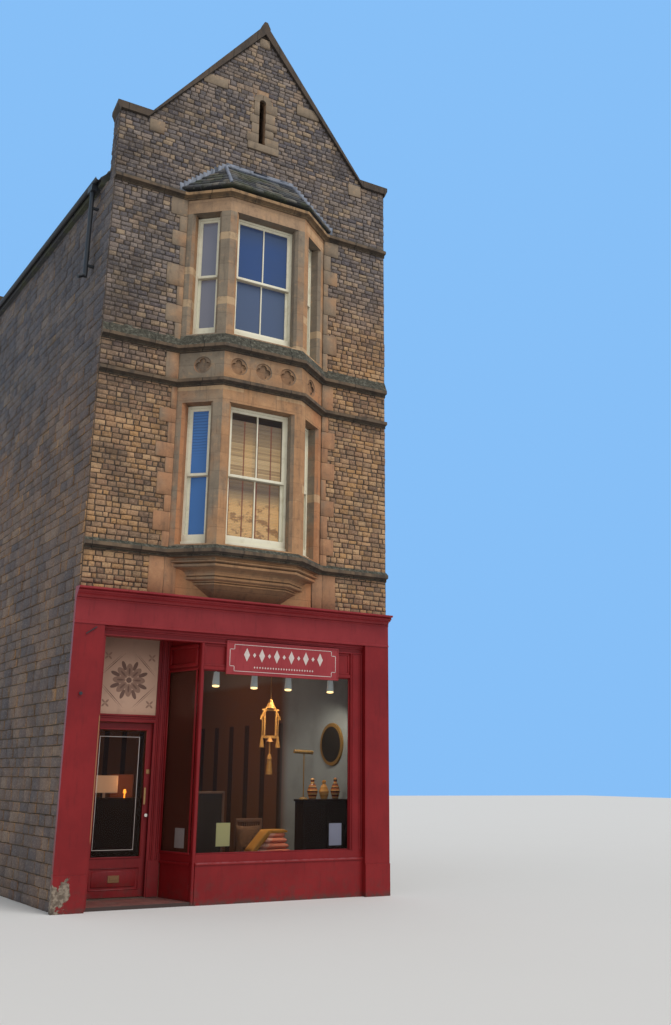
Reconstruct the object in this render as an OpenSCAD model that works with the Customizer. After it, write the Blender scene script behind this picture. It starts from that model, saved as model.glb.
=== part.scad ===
// Narrow gabled stone house with a shop on the ground storey and a two-storey oriel bay over it.
// The street front stands on y = 0 and faces -y, x = 0 is its middle and z = 0 is the pavement.

/* [House] */
// Width of the street front
house_w = 5200; // [4800:50:6000]
// Depth from the street front to the rear face
house_d = 8400; // [6000:100:12000]
// Angle by which the side walls drift to the left towards the rear, degrees
side_skew = 8; // [0:1:10]
// Thickness of the front wall
front_wall_t = 450; // [350:10:600]
// Thickness of each side wall
side_wall_t = 350; // [250:10:450]
// Thickness of the rear wall
rear_wall_t = 400; // [300:10:500]
// Thickness of each gable above the attic floor
gable_t = 350; // [250:10:400]
// Clearance where slanting or fitted faces meet
fit_gap = 0.3; // [0.2:0.1:0.6]

/* [Levels] */
// Height of the shop opening, to the underside of the beam
shop_head = 3900; // [3600:10:4100]
// Height of the first floor over the head of the shop opening
beam_h = 550; // [500:10:620]
// Height of the second floor over the first
first_storey_h = 3550; // [3400:10:3800]
// Height of the attic floor, where the gables start, over the second floor
second_storey_h = 3430; // [3350:10:3700]
// Thickness of an upper floor
floor_t = 200; // [120:10:250]
// Height of the shop floor over the pavement
shop_floor_z = 60; // [60:5:150]
// Height of the lobby floor over the pavement
lobby_floor_z = 50; // [20:5:55]

/* [Gables] */
// Height of the level copings at the foot of a gable over the attic floor
kneeler_h = 1450; // [1200:10:1700]
// Distance from the middle to where the slope starts
slope_start = 2050; // [1800:10:2300]
// Height of the apex over the level copings
gable_rise = 2740; // [2500:10:3000]
// Thickness of a coping
coping_t = 140; // [90:5:200]
// How far a coping stands proud of the wall
coping_over = 60; // [30:5:100]
// Height of the undercut ends of the level copings
kneeler_drop = 210; // [150:5:300]
// Half width of the saddle stone at the apex
saddle_w = 90; // [60:5:120]
// Height of the saddle stone over the slopes
saddle_up = 40; // [20:5:80]
// Width of the slit in the front gable
slit_w = 130; // [90:5:180]
// Height of the slit's foot over the level copings
slit_up = 70; // [40:5:200]
// Height of the slit to its springing
slit_h = 900; // [600:10:1100]
// Width of the ashlar round the slit
slit_jamb = 150; // [100:5:200]

/* [Roof] */
// Pitch of the roof, degrees
roof_pitch = 52; // [45:0.5:53]
// Thickness of the slated roof
roof_t = 140; // [100:5:200]
// How far the eaves stand out from the side walls
eaves = 90; // [60:5:150]
// Outer radius of the gutter
gutter_r = 50; // [40:1:65]
// Thickness of cast-iron rainwater goods
iron_t = 5; // [4:0.5:8]
// Outer radius of the downpipe
pipe_r = 38; // [30:1:50]
// Length of the downpipe
pipe_l = 1500; // [900:50:3000]
// Half width of the ridge tiles
ridge_w = 180; // [120:5:220]
// Thickness of the ridge tiles
ridge_t = 30; // [15:1:40]
// Distance of the downpipe from the street front
hopper_y = 600; // [500:10:1500]
// Width of the hopper head
hopper_w = 200; // [150:5:260]
// Height of the hopper head
hopper_h = 220; // [160:5:300]
// Length of the shoe at the foot of the downpipe
shoe_l = 140; // [90:5:200]
// Height of a downpipe bracket
bracket_h = 40; // [25:1:60]

/* [Bay] */
// Half of the bay's width on the wall
bay_back = 1316; // [1200:2:1400]
// Half of the bay's front face
bay_front = 701; // [640:1:760]
// Projection of the bay
bay_d = 478; // [400:2:560]
// Thickness of the bay's stone
bay_wall_t = 300; // [280:5:330]
// Width of the front windows
front_win_w = 1072; // [900:2:1120]
// Width of the windows in the canted sides
cant_win_w = 432; // [360:2:460]
// Stone between the house wall and a canted window
cant_jamb = 147; // [110:1:170]
// Height of the lower windows' sill over the first floor
lower_sill_h = 785; // [770:5:900]
// Height of the lower windows
lower_win_h = 2352; // [2100:2:2420]
// Height of the upper windows' sill over the second floor
upper_sill_h = 797; // [780:1:900]
// Height of the upper windows
upper_win_h = 2285; // [2100:1:2350]
// Width of the chamfer on the stone beside a bay window
pier_chamfer = 45; // [20:5:60]
// Diameter of a roundel in the band between the windows
roundel_d = 298; // [240:1:330]
// Spacing of the three roundels on the front
roundel_step = 440; // [360:5:460]
// Shift of a canted side's roundel towards the bay's front
roundel_shift = 25; // [0:5:60]
// Depth of a roundel
roundel_depth = 45; // [20:1:60]
// Height of the bay's roof
bay_roof_h = 720; // [500:10:900]

/* [String courses] */
// Drop of the bay's cornice, which is a string too, from the attic floor
string_a_drop = 90; // [60:5:130]
// Height of the string under the upper windows over the second floor
string_b_up = 460; // [440:2:480]
// Drop of the string at the second floor
string_c_drop = 140; // [80:5:150]
// Height of the string under the lower windows over the first floor
string_d_up = 580; // [540:5:590]
// Projection of a string course
string_out = 95; // [60:5:120]
// Height of a string's face
string_h = 110; // [80:5:130]
// Height of the sloping top of the bay's cornice and of the string under the lower windows
string_slope = 75; // [40:5:80]
// Height of the steep top of the string under the upper windows
sill_slope = 205; // [60:5:210]
// Height of the sloping top of the string at the second floor
floor_slope = 40; // [30:5:80]

/* [Windows] */
// Depth of the stone reveal in front of a window
reveal = 180; // [120:5:200]
// Width of a window's outer frame
box_w = 40; // [25:1:60]
// Depth of a window's outer frame
box_d = 100; // [90:2:110]
// Width of a sash's stiles and rails
sash_w = 45; // [30:1:60]
// Thickness of a sash
sash_t = 38; // [30:1:42]
// Thickness of window glass
pane_t = 6; // [4:1:10]
// Width of a rear window
rear_win_w = 1300; // [900:10:1600]
// Sill of the ground-storey rear window
rear_sill = 1000; // [800:10:1200]
// Height of the ground-storey rear window
rear_win_h = 1700; // [1400:10:2000]

/* [Shopfront] */
// How far the shopfront reaches past the left edge of the house
shop_past = 60; // [0:5:100]
// How far the shopfront stays short of the right edge of the house
shop_short = 15; // [0:5:60]
// Width of a pilaster
pilaster_w = 445; // [380:5:480]
// Projection of the pilasters and fascia from the stone
pilaster_d = 100; // [70:5:140]
// Height of a pilaster's plinth
plinth_h = 480; // [300:10:550]
// How far a plinth stands proud
plinth_out = 15; // [8:1:25]
// Height of the plain fascia
fascia_h = 350; // [300:5:380]
// Projection of the cornice in front of the fascia
cornice_out = 165; // [120:5:200]
// Height of the rail under the fascia
head_rail_h = 140; // [120:5:230]
// Height of the panels over the shop window
top_panel_h = 350; // [250:5:400]
// Top of the window sill
sill_z = 690; // [600:5:760]
// Height of the window sill with the ledge at its foot
sill_h = 155; // [100:5:180]
// Height of the ledge at the foot of the sill
ledge_h = 35; // [20:1:50]
// How far the stallriser stands in front of the house wall
stall_out = 20; // [10:1:60]
// Width of the rails and thin bars round the glass
bar_w = 50; // [40:1:60]
// Depth of the shopfront's timber
timber_t = 80; // [60:5:100]
// Width of the moulded post beside the shop window
post_w = 230; // [180:5:250]
// Radius of the reeds on the posts
reed_r = 13; // [8:1:16]
// Space between two reeds
reed_gap = 5; // [2:1:10]
// Thickness of shop glass
shop_pane_t = 8; // [6:1:12]
// Width of the sign board
sign_w = 1955; // [1500:5:2100]
// Height of the sign board
sign_h = 520; // [400:10:560]
// Distance of the sign board's top under the fascia
sign_drop = 78; // [40:2:120]
// Shift of the sign board to the right of the window's middle
sign_shift = 55; // [0:2.5:100]
// Thickness of the sign board
sign_t = 35; // [20:1:50]

/* [Lobby and door] */
// Depth of the lobby, to the outer face of the door frame
lobby_d = 740; // [600:10:900]
// Depth of the door frame
door_frame_d = 120; // [100:5:140]
// Sideways run of the slanting side window
side_run = 245; // [200:5:320]
// Thickness of the lobby's left lining
lining_t = 50; // [30:1:60]
// Width of the door leaf
door_w = 934; // [740:2:960]
// Height of the door leaf
door_h = 2490; // [2200:5:2550]
// Thickness of the door leaf
door_t = 45; // [38:1:50]
// Gap round the door leaf
door_gap = 8; // [6:0.5:10]
// Width of the post on the hinge side of the door
hinge_post_w = 100; // [80:1:220]
// Width of the post between the door and the side window
door_mullion_w = 185; // [150:1:220]
// Width of the door's stiles
stile_w = 95; // [80:1:110]
// Height of the door's bottom panel
door_panel_h = 310; // [240:5:340]
// Height of the rail between the door's panel and its glass
door_rail_h = 145; // [90:5:180]
// Height of the rail over the door
door_head_h = 120; // [100:5:170]
// Cover of the door stop over the leaf
stop_w = 14; // [10:1:20]
// Radius of a door hinge's knuckle
knuckle_r = 7; // [5:0.5:9]
// Height of a door hinge
hinge_h = 100; // [75:5:125]

/* [Hidden] */
first_floor_z = shop_head + beam_h;
second_floor_z = first_floor_z + first_storey_h;
attic_z = second_floor_z + second_storey_h;
kneeler_z = attic_z + kneeler_h;
apex_z = kneeler_z + gable_rise;
slit_z = kneeler_z + slit_up;
lower_sill = first_floor_z + lower_sill_h;
lower_head = lower_sill + lower_win_h;
upper_sill = second_floor_z + upper_sill_h;
upper_head = upper_sill + upper_win_h;
string_a_z = attic_z - string_a_drop;
string_b_z = second_floor_z + string_b_up;
string_c_z = second_floor_z - string_c_drop;
string_d_z = first_floor_z + string_d_up;
half_w = house_w / 2;
far = 3 * house_d;
tall = 2 * apex_z;
front_y = front_wall_t;
rear_y = house_d - rear_wall_t;
room_left = -(half_w - side_wall_t);
room_right = half_w - side_wall_t;
cant = atan2(bay_d, bay_back - bay_front);
mitre = tan(cant / 2);
cant_l = norm([bay_back - bay_front, bay_d]);
bay_neck = 40;
bay_open = bay_back - cant_jamb / cos(cant) + bay_neck;
front_win = front_win_w / 2;
rear_win = rear_win_w / 2;
pitch_rise = tan(roof_pitch);
roof_drop = roof_t / cos(roof_pitch);
eaves_top = attic_z + roof_drop - (eaves - fit_gap) * pitch_rise;
slope_angle = atan2(apex_z - kneeler_z, slope_start);
slope_drop = coping_t / cos(slope_angle);
shop_left = half_w + shop_past;
shop_right = half_w - shop_short;
shop_l = -(shop_left - pilaster_w);
shop_r = shop_right - pilaster_w;
post_x = shop_r - post_w;
transom_top = shop_head - head_rail_h;
transom_z = transom_top - top_panel_h;
ceiling_z = shop_head - bar_w;
foot = sill_z - sill_h;
door_y = lobby_d + door_frame_d;
post_left = shop_l + lining_t;
leaf_l = post_left + hinge_post_w + door_gap;
door_x = -(leaf_l + door_w);
side_end_x = door_x - door_gap - door_mullion_w - bar_w / 2;
corner_x = side_end_x - side_run;
leaf_z = shop_floor_z + door_gap;
leaf_top = leaf_z + door_h;
sign_x = (post_x - corner_x + bar_w / 2) / 2 + sign_shift;
side_l = norm([side_end_x - corner_x, lobby_d - timber_t]);
side_turn = atan2(lobby_d - timber_t, corner_x - side_end_x);
stone = "peru";
rubble = "tan";
red = "firebrick";
cream = "wheat";
lead = "dimgray";

// Sideways drift of the side walls at a distance y from the front.
function drift(y) = -y * tan(side_skew);

// Corner k of the line that runs along the wall and round the bay, at an offset o from the stone.
function course_point(k, o) = [
    [-half_w, -o],
    [-(bay_back + o * mitre), -o],
    [-(bay_front + o * mitre), -(bay_d + o)],
    [bay_front + o * mitre, -(bay_d + o)],
    [bay_back + o * mitre, -o],
    [half_w, -o]
][k];

// Plan of the bay at an offset o, closed along the wall.
function bay_plan(o) = [
    [-(bay_back + o / sin(cant)), 0],
    [-(bay_front + o * mitre), -(bay_d + o)],
    [bay_front + o * mitre, -(bay_d + o)],
    [bay_back + o / sin(cant), 0]
];

// Point on the left canted side, s along it from the wall and o outwards.
function cant_point(s, o) = [
    -bay_back + s * cos(cant) - o * sin(cant),
    -s * sin(cant) - o * cos(cant)
];

// Point on the slanting side of the shop window, s from the corner post and o towards the lobby.
function side_point(s, o) = [
    -corner_x - bar_w / 2 + s * cos(side_turn) - o * sin(side_turn),
    timber_t + s * sin(side_turn) + o * cos(side_turn)
];

// Quarter-round hollow or round between two points of a moulding, as a list of [offset, height].
function cove(from, to, steps = 5) = [
    for (i = [0:steps]) [
        from[0] + (to[0] - from[0]) * (1 - cos(90 * i / steps)),
        from[1] + (to[1] - from[1]) * sin(90 * i / steps)
    ]
];

// Half-round roll that swells out between two points of a moulding, the lower one first.
function roll(from, to, steps = 6) = [
    for (i = [0:steps]) [
        from[0] + (to[0] - from[0]) * i / steps + (to[1] - from[1]) / 2 * sin(180 * i / steps),
        from[1] + (to[1] - from[1]) * (1 - cos(180 * i / steps)) / 2
    ]
];

// Solid through a list of like rings of points.
module skin(rings) {
    n = len(rings[0]);
    last = len(rings) - 1;
    polyhedron(
        points = [for (r = rings) each r],
        faces = concat(
            [[for (i = [0:n - 1]) i]],
            [for (k = [0:last - 1]) for (i = [0:n - 1])
                [k * n + i, (k + 1) * n + i, (k + 1) * n + (i + 1) % n, k * n + (i + 1) % n]],
            [[for (i = [n - 1:-1:0]) last * n + i]]
        )
    );
}

// Block between two heights whose left and right ends drift with the side walls.
module storey_block(x0, x1, y0, y1, z0, z1) {
    translate([0, 0, z0])
        linear_extrude(z1 - z0)
            polygon([
                [x0 + drift(y0), y0], [x1 + drift(y0), y0],
                [x1 + drift(y1), y1], [x0 + drift(y1), y1]
            ]);
}

// Upright wall with one end that follows the side walls and one that is square to the front.
module front_block(outer, inner, z0, z1) {
    translate([0, 0, z0])
        linear_extrude(z1 - z0)
            polygon([[outer, 0], [inner, 0], [inner, front_y], [outer + drift(front_y), front_y]]);
}

// Prism along the side walls, from a cross-section of [x, z] points.
module along_house(section, y0, y1) {
    slack = half_w;
    intersection() {
        rotate([0, 0, side_skew])
            translate([0, y1 + slack, 0])
                rotate([90, 0, 0])
                    linear_extrude(y1 - y0 + 2 * slack)
                        polygon([for (p = section) [p[0] * cos(side_skew), p[1]]]);
        translate([-far / 2, y0, 0])
            cube([far, y1 - y0, tall]);
    }
}

// Plate in the plane of the front, from an outline of [x, z] points.
module upright_plate(outline, y0, y1) {
    translate([0, y1, 0])
        rotate([90, 0, 0])
            linear_extrude(y1 - y0)
                polygon(outline);
}

// Moulding with a profile of [offset, height] points, along the wall and round the bay.
module course(profile) {
    skin([for (k = [0:5]) [for (p = profile) concat(course_point(k, p[0]), p[1])]]);
}

// Mass with the bay's plan, whose offset changes with height as [offset, height] points.
module bay_mass(levels) {
    skin([for (p = levels) [for (q = bay_plan(p[0])) concat(q, p[1])]]);
}

module bar(x0, x1, y0, y1, z0, z1) {
    translate([x0, y0, z0])
        cube([x1 - x0, y1 - y0, z1 - z0]);
}

module ground_floor() {
    color("gray")
        linear_extrude(shop_floor_z)
            polygon([
                [post_left, door_y],
                [post_left, lobby_d],
                side_point(side_l + fit_gap, 0),
                side_point(side_l + fit_gap, -bar_w - fit_gap),
                side_point(0, -bar_w - fit_gap),
                [-corner_x + bar_w / 2, timber_t],
                [shop_r, timber_t],
                [shop_r, front_y],
                [room_right - fit_gap + drift(front_y), front_y],
                [room_right - fit_gap + drift(rear_y), rear_y],
                [room_left + fit_gap + drift(rear_y), rear_y],
                [room_left + fit_gap + drift(door_y), door_y]
            ]);
}

module lobby_floor() {
    color("rosybrown")
        linear_extrude(lobby_floor_z)
            polygon([
                [post_left, 0], [-corner_x - bar_w / 2, 0],
                side_point(0, 0), side_point(side_l, 0), [post_left, lobby_d]
            ]);
}

// The top of a side wall follows the underside of the roof.
function side_wall_section(outer, inner) = [
    [outer, 0], [inner, 0],
    [inner, roof_under(abs(inner)) - fit_gap], [outer, roof_under(abs(outer)) - fit_gap]
];

function roof_under(x) = eaves_top + (half_w + eaves - x) * pitch_rise - roof_drop;

module left_party_wall() {
    color(rubble)
        along_house(side_wall_section(-half_w, room_left), front_y, rear_y);
}

module right_party_wall() {
    color(rubble)
        along_house(side_wall_section(half_w, room_right), front_y, rear_y);
}

module front_piers() {
    color(rubble) {
        front_block(-half_w, shop_l, 0, shop_head);
        front_block(half_w, shop_r, 0, shop_head);
    }
}

module shop_beam() {
    color(rubble)
        storey_block(-half_w, half_w, 0, front_y, shop_head, first_floor_z);
}

module front_wall_left() {
    color(rubble)
        front_block(-half_w, -bay_open, first_floor_z, attic_z);
}

module front_wall_right() {
    color(rubble)
        front_block(half_w, bay_open, first_floor_z, attic_z);
}

function gable_outline() = [
    [-half_w, attic_z], [half_w, attic_z],
    [half_w, kneeler_z - coping_t],
    [slope_start + coping_t * tan(slope_angle / 2), kneeler_z - coping_t],
    [0, apex_z - slope_drop],
    [-(slope_start + coping_t * tan(slope_angle / 2)), kneeler_z - coping_t],
    [-half_w, kneeler_z - coping_t]
];

function slit_outline(w) = concat(
    [[-w / 2, slit_z], [w / 2, slit_z]],
    [for (a = [0:10:60]) [-w / 2 + w * cos(a), slit_z + slit_h + w * sin(a)]],
    [for (a = [50:-10:0]) [w / 2 - w * cos(a), slit_z + slit_h + w * sin(a)]]
);

slit_frame_w = slit_w + 2 * slit_jamb;
slit_frame_z0 = slit_z - slit_jamb;
slit_frame_z1 = slit_z + slit_h + slit_w + slit_jamb;

module front_gable() {
    color(rubble)
        difference() {
            upright_plate(gable_outline(), 0, gable_t);
            bar(-slit_frame_w / 2, slit_frame_w / 2, -1, gable_t + 1, slit_frame_z0, slit_frame_z1);
        }
}

module slit_surround() {
    color(stone)
        difference() {
            bar(-slit_frame_w / 2, slit_frame_w / 2, 0, gable_t, slit_frame_z0, slit_frame_z1);
            upright_plate(slit_outline(slit_w), -1, gable_t + 1);
        }
}

// Right half of a coping's outline, from the underside of its apex round to the saddle stone on top.
coping_half = [
    [slope_start + coping_t * tan(slope_angle / 2), kneeler_z - coping_t],
    [half_w, kneeler_z - coping_t],
    [half_w, kneeler_z - kneeler_drop],
    [half_w + coping_over, kneeler_z - coping_t / 2],
    [half_w + coping_over, kneeler_z],
    [slope_start, kneeler_z],
    [saddle_w, apex_z - saddle_w * tan(slope_angle)],
    [saddle_w, apex_z - saddle_w * tan(slope_angle) + saddle_up],
    [saddle_w / 3, apex_z + saddle_up]
];

// Coping over a gable: level at the kneelers and raking up to the apex.
module coping(y0, y1) {
    last = len(coping_half) - 1;
    upright_plate(
        concat(
            [[0, apex_z - slope_drop]],
            coping_half,
            [for (i = [last:-1:0]) [-coping_half[i][0], coping_half[i][1]]]
        ),
        y0, y1
    );
}

module gable_coping() {
    color(stone)
        coping(-coping_over, gable_t);
}

module rear_wall_sides() {
    color(rubble)
        for (side = [-1, 1])
            linear_extrude(attic_z)
                polygon([
                    [side * half_w + drift(rear_y), rear_y],
                    [side * rear_win + drift(house_d), rear_y],
                    [side * rear_win + drift(house_d), house_d],
                    [side * half_w + drift(house_d), house_d]
                ]);
}

// Sill and head heights of the rear windows, from the ground up.
rear_windows = [
    [rear_sill, rear_sill + rear_win_h],
    [lower_sill, lower_head],
    [upper_sill, upper_head]
];

module rear_wall_middle() {
    edges = concat([0], [for (w = rear_windows) each w], [attic_z]);
    color(rubble)
        translate([drift(house_d), 0, 0])
            for (i = [0:2:len(edges) - 2])
                bar(-rear_win + fit_gap, rear_win - fit_gap, rear_y, house_d, edges[i], edges[i + 1]);
}

module rear_gable() {
    color(rubble)
        translate([drift(house_d), 0, 0])
            upright_plate(gable_outline(), house_d - gable_t, house_d);
}

module rear_coping() {
    color(stone)
        translate([drift(house_d), 0, 0])
            coping(house_d - gable_t, house_d + coping_over);
}

// Sash window in an opening w by h, seen from outside: x across, y inwards from its outer face.
module sash_window(w, h) {
    rail = h / 2;
    inner = w / 2 - box_w;
    outer = w / 2 - fit_gap;
    difference() {
        bar(-outer, outer, 0, box_d, fit_gap, h - fit_gap);
        bar(-inner, inner, -1, box_d + 1, box_w, h - box_w);
    }
    frame_ring(inner, box_d / 2 - sash_t, box_d / 2, rail - sash_w / 2, h - box_w);
    frame_ring(inner, box_d / 2, box_d / 2 + sash_t, box_w, rail + sash_w / 2);
}

module frame_ring(half, y0, y1, z0, z1) {
    difference() {
        bar(-half, half, y0, y1, z0, z1);
        bar(-half + sash_w, half - sash_w, y0 - 1, y1 + 1, z0 + sash_w, z1 - sash_w);
    }
}

module sash_panes(w, h) {
    rail = h / 2;
    half = w / 2 - box_w - sash_w;
    front = box_d / 2 - sash_t / 2 - pane_t / 2;
    bar(-half, half, front, front + pane_t, rail + sash_w / 2, h - box_w - sash_w);
    bar(-half, half, front + sash_t, front + sash_t + pane_t, box_w + sash_w, rail - sash_w / 2);
}

// Places a window in the front and in both canted sides of the bay.
module in_front_of_bay(sill) {
    translate([0, -bay_d + reveal, sill])
        children();
}

module in_canted_sides(sill) {
    for (side = [0, 1])
        mirror([side, 0, 0])
            translate([-bay_back, 0, 0])
                rotate([0, 0, -cant])
                    translate([cant_jamb + cant_win_w / 2, reveal, sill])
                        children();
}

module in_rear_wall(sill) {
    translate([drift(house_d), house_d - reveal, sill])
        rotate([0, 0, 180])
            children();
}

module bay_sashes(sill, head) {
    in_front_of_bay(sill) sash_window(front_win_w, head - sill);
    in_canted_sides(sill) sash_window(cant_win_w, head - sill);
}

module bay_panes(sill, head) {
    in_front_of_bay(sill) sash_panes(front_win_w, head - sill);
    in_canted_sides(sill) sash_panes(cant_win_w, head - sill);
}

module rear_sashes() {
    color(cream)
        for (w = rear_windows)
            in_rear_wall(w[0]) sash_window(rear_win_w, w[1] - w[0]);
}

module rear_glass() {
    color("lightblue")
        for (w = rear_windows)
            in_rear_wall(w[0]) sash_panes(rear_win_w, w[1] - w[0]);
}

module room_slab(z) {
    storey_block(room_left + fit_gap, room_right - fit_gap, front_y, rear_y, z - floor_t, z);
}

module bay_slab(z) {
    translate([0, 0, z - floor_t])
        linear_extrude(floor_t)
            polygon(concat(
                bay_plan(-bay_wall_t),
                [[bay_open, 0], [bay_open, front_y], [-bay_open, front_y], [-bay_open, 0]]
            ));
}

module first_floor() {
    color("gray")
        room_slab(first_floor_z);
}

module second_floor() {
    color("gray")
        union() {
            room_slab(second_floor_z);
            bay_slab(second_floor_z);
        }
}

module attic_floor() {
    color("gray")
        union() {
            room_slab(attic_z);
            bay_slab(attic_z);
        }
}

function ridge_z() = eaves_top + (half_w + eaves) * pitch_rise;

module roof_slope(side) {
    color("darkslategray")
        along_house(
            [
                [side * (half_w + eaves), attic_z],
                [side * (half_w + fit_gap), attic_z],
                [0, roof_under(0)],
                [0, ridge_z()],
                [side * (half_w + eaves), eaves_top]
            ],
            gable_t, house_d - gable_t
        );
}

module roof_left() {
    roof_slope(-1);
}

module roof_right() {
    roof_slope(1);
}

module roof_ridge() {
    drop = ridge_w * pitch_rise;
    lift = ridge_t / cos(roof_pitch);
    under = ridge_z() + fit_gap;
    color("dimgray")
        along_house(
            [
                [-ridge_w, under - drop], [0, under], [ridge_w, under - drop],
                [ridge_w, under - drop + lift], [0, under + lift], [-ridge_w, under - drop + lift]
            ],
            gable_t, house_d - gable_t
        );
}

// Half-round gutter on the eaves fascia, along one side of the house.
module gutter(side) {
    x = side * (half_w + eaves + gutter_r / cos(side_skew)) * cos(side_skew);
    intersection() {
        rotate([0, 0, side_skew])
            translate([x, house_d + half_w, eaves_top - iron_t])
                rotate([90, 0, 0])
                    linear_extrude(house_d + 2 * half_w)
                        difference() {
                            circle(gutter_r, $fn = 48);
                            circle(gutter_r - iron_t, $fn = 48);
                            translate([-2 * gutter_r, 0])
                                square([4 * gutter_r, 2 * gutter_r]);
                        }
        bar(-far / 2, far / 2, gable_t, house_d - gable_t, 0, tall);
    }
}

module gutters() {
    color(lead) {
        gutter(-1);
        gutter(1);
    }
}

hopper_d = 2 * gutter_r;

// Hopper under the left gutter, with a pipe held off the wall and a shoe at its foot.
module downpipe() {
    reach = eaves + gutter_r / cos(side_skew);
    top = eaves_top - iron_t - gutter_r;
    foot = top - hopper_h - pipe_l;
    color(lead)
        translate([-half_w + drift(hopper_y) - reach, hopper_y, 0])
            rotate([0, 0, side_skew]) {
                translate([-hopper_d / 2, -hopper_w / 2, top - hopper_h / 2])
                    cube([hopper_d, hopper_w, hopper_h / 2]);
                translate([0, 0, top - hopper_h])
                    cylinder(h = hopper_h / 2 + iron_t, r1 = pipe_r, r2 = hopper_d / 2 - iron_t, $fn = 32);
                translate([0, 0, foot])
                    cylinder(h = pipe_l + iron_t, r = pipe_r, $fn = 32);
                translate([0, 0, foot + pipe_r])
                    rotate([0, -120, 0])
                        cylinder(h = shoe_l, r = pipe_r - iron_t, $fn = 32);
                for (drop = [200, pipe_l - 200])
                    translate([0, -pipe_r / 2, top - hopper_h - drop])
                        cube([reach * cos(side_skew), pipe_r, bracket_h]);
            }
}

// Section of a string course: roll and hollow below, upright face and a sloping top.
function string_profile(z, slope) = concat(
    [[0, z]],
    roll([0.2 * string_out, z + 1], [0.2 * string_out, z + 0.27 * string_h], 4),
    cove([0.3 * string_out, z + 0.3 * string_h], [0.85 * string_out, z + 0.48 * string_h]),
    [
        [string_out, z + 0.52 * string_h],
        [string_out, z + string_h],
        [0, z + string_h + slope]
    ]
);

module string_a() {
    color(stone)
        course(string_profile(string_a_z, string_slope));
}

module string_b() {
    color(stone)
        course(string_profile(string_b_z, sill_slope));
}

module string_c() {
    color(stone)
        course(string_profile(string_c_z, floor_slope));
}

module string_d() {
    color(stone)
        course(string_profile(string_d_z, string_slope));
}

// Point of the corbel, as shares of the bay's projection and of the corbel's height.
function corbel_point(back, up) = [-back * bay_d, first_floor_z + up * string_d_up];

module bay_corbel() {
    color(stone)
        union() {
            bay_mass(concat(
                [corbel_point(0.94, 0)],
                roll(corbel_point(0.60, 0.32), corbel_point(0.60, 0.39)),
                [corbel_point(0.53, 0.40), corbel_point(0.53, 0.425)],
                roll(corbel_point(0.45, 0.435), corbel_point(0.45, 0.545)),
                cove(corbel_point(0.40, 0.555), corbel_point(0.20, 0.72)),
                roll(corbel_point(0.14, 0.73), corbel_point(0.14, 0.845)),
                [corbel_point(0.09, 0.855)],
                roll(corbel_point(0.05, 0.86), corbel_point(0.05, 0.92)),
                [corbel_point(0.11, 0.93), corbel_point(0.11, 0.985)],
                [[0, string_d_z], [0, lower_sill]]
            ));
            bar(-bay_open, bay_open, 0, front_y, first_floor_z, lower_sill);
        }
}

// Stone post at the wall, which runs on into the opening behind it, and stone post at the corner of
// the bay, on the left side.
module left_piers(z0, z1) {
    s0 = cant_jamb;
    s1 = cant_jamb + cant_win_w;
    inner = bay_plan(-bay_wall_t);
    back = cant_point(s0, -bay_wall_t);
    translate([0, 0, z0])
        linear_extrude(z1 - z0) {
            polygon([
                [-bay_back, 0], cant_point(s0 - pier_chamfer, 0), cant_point(s0, -pier_chamfer),
                back, [-bay_open, back[1]], [-bay_open, 0]
            ]);
            polygon([
                cant_point(s1, -pier_chamfer), cant_point(s1 + pier_chamfer, 0), [-bay_front, -bay_d],
                [-front_win - pier_chamfer, -bay_d], [-front_win, -bay_d + pier_chamfer],
                [-front_win, -bay_d + bay_wall_t], inner[1], cant_point(s1, -bay_wall_t)
            ]);
        }
}

module bay_piers(z0, z1) {
    color(stone)
        for (side = [0, 1])
            mirror([side, 0, 0])
                left_piers(z0, z1);
}

module bay_ring(z0, z1) {
    translate([0, 0, z0])
        linear_extrude(z1 - z0)
            polygon(concat(bay_plan(0), [for (i = [3:-1:0]) bay_plan(-bay_wall_t)[i]]));
}

module bay_lower_piers() {
    bay_piers(lower_sill, lower_head);
}

module bay_upper_piers() {
    bay_piers(upper_sill, upper_head);
}

// Cutter for a splayed round recess with a ring of foils, centred on its face and cut inwards along y.
module roundel() {
    foils = 4;
    foil_r = roundel_d * 0.19;
    splay = roundel_depth / 3;
    rotate([-90, 0, 0]) {
        translate([0, 0, -splay])
            cylinder(h = 2 * splay, d1 = roundel_d + 2 * splay, d2 = roundel_d - 2 * splay, $fn = 48);
        translate([0, 0, roundel_depth / 4])
            linear_extrude(roundel_depth * 3 / 4)
                union() {
                    circle(roundel_d * 0.17, $fn = 32);
                    for (i = [0:foils - 1])
                        rotate(90 + i * 360 / foils)
                            translate([roundel_d * 0.23, 0])
                                circle(foil_r, $fn = 32);
                }
    }
}

roundel_z = (string_c_z + string_h + floor_slope + string_b_z) / 2;

module bay_middle_band() {
    color(stone)
        difference() {
            bay_ring(lower_head, upper_sill);
            for (i = [-1:1])
                translate([i * roundel_step, -bay_d, roundel_z])
                    roundel();
            for (side = [0, 1])
                mirror([side, 0, 0])
                    translate([-bay_back, 0, 0])
                        rotate([0, 0, -cant])
                            translate([cant_l / 2 + roundel_shift, 0, roundel_z])
                                roundel();
        }
}

module bay_head() {
    color(stone)
        bay_ring(upper_head, attic_z);
}

module bay_roof() {
    z0 = string_a_z + string_h + string_slope;
    plan = bay_plan(string_out);
    top = bay_front - 40;
    color("darkslategray")
        skin([
            [for (q = plan) concat(q, z0)],
            [for (q = plan) concat(q, z0 + 25)],
            [[-top - 1, 0, z0 + bay_roof_h - 1], [-top, -1, z0 + bay_roof_h],
             [top, -1, z0 + bay_roof_h], [top + 1, 0, z0 + bay_roof_h - 1]]
        ]);
}

module lower_sashes() {
    color(cream)
        bay_sashes(lower_sill, lower_head);
}

module lower_glass() {
    color("lightblue")
        bay_panes(lower_sill, lower_head);
}

module upper_sashes() {
    color(cream)
        bay_sashes(upper_sill, upper_head);
}

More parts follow.
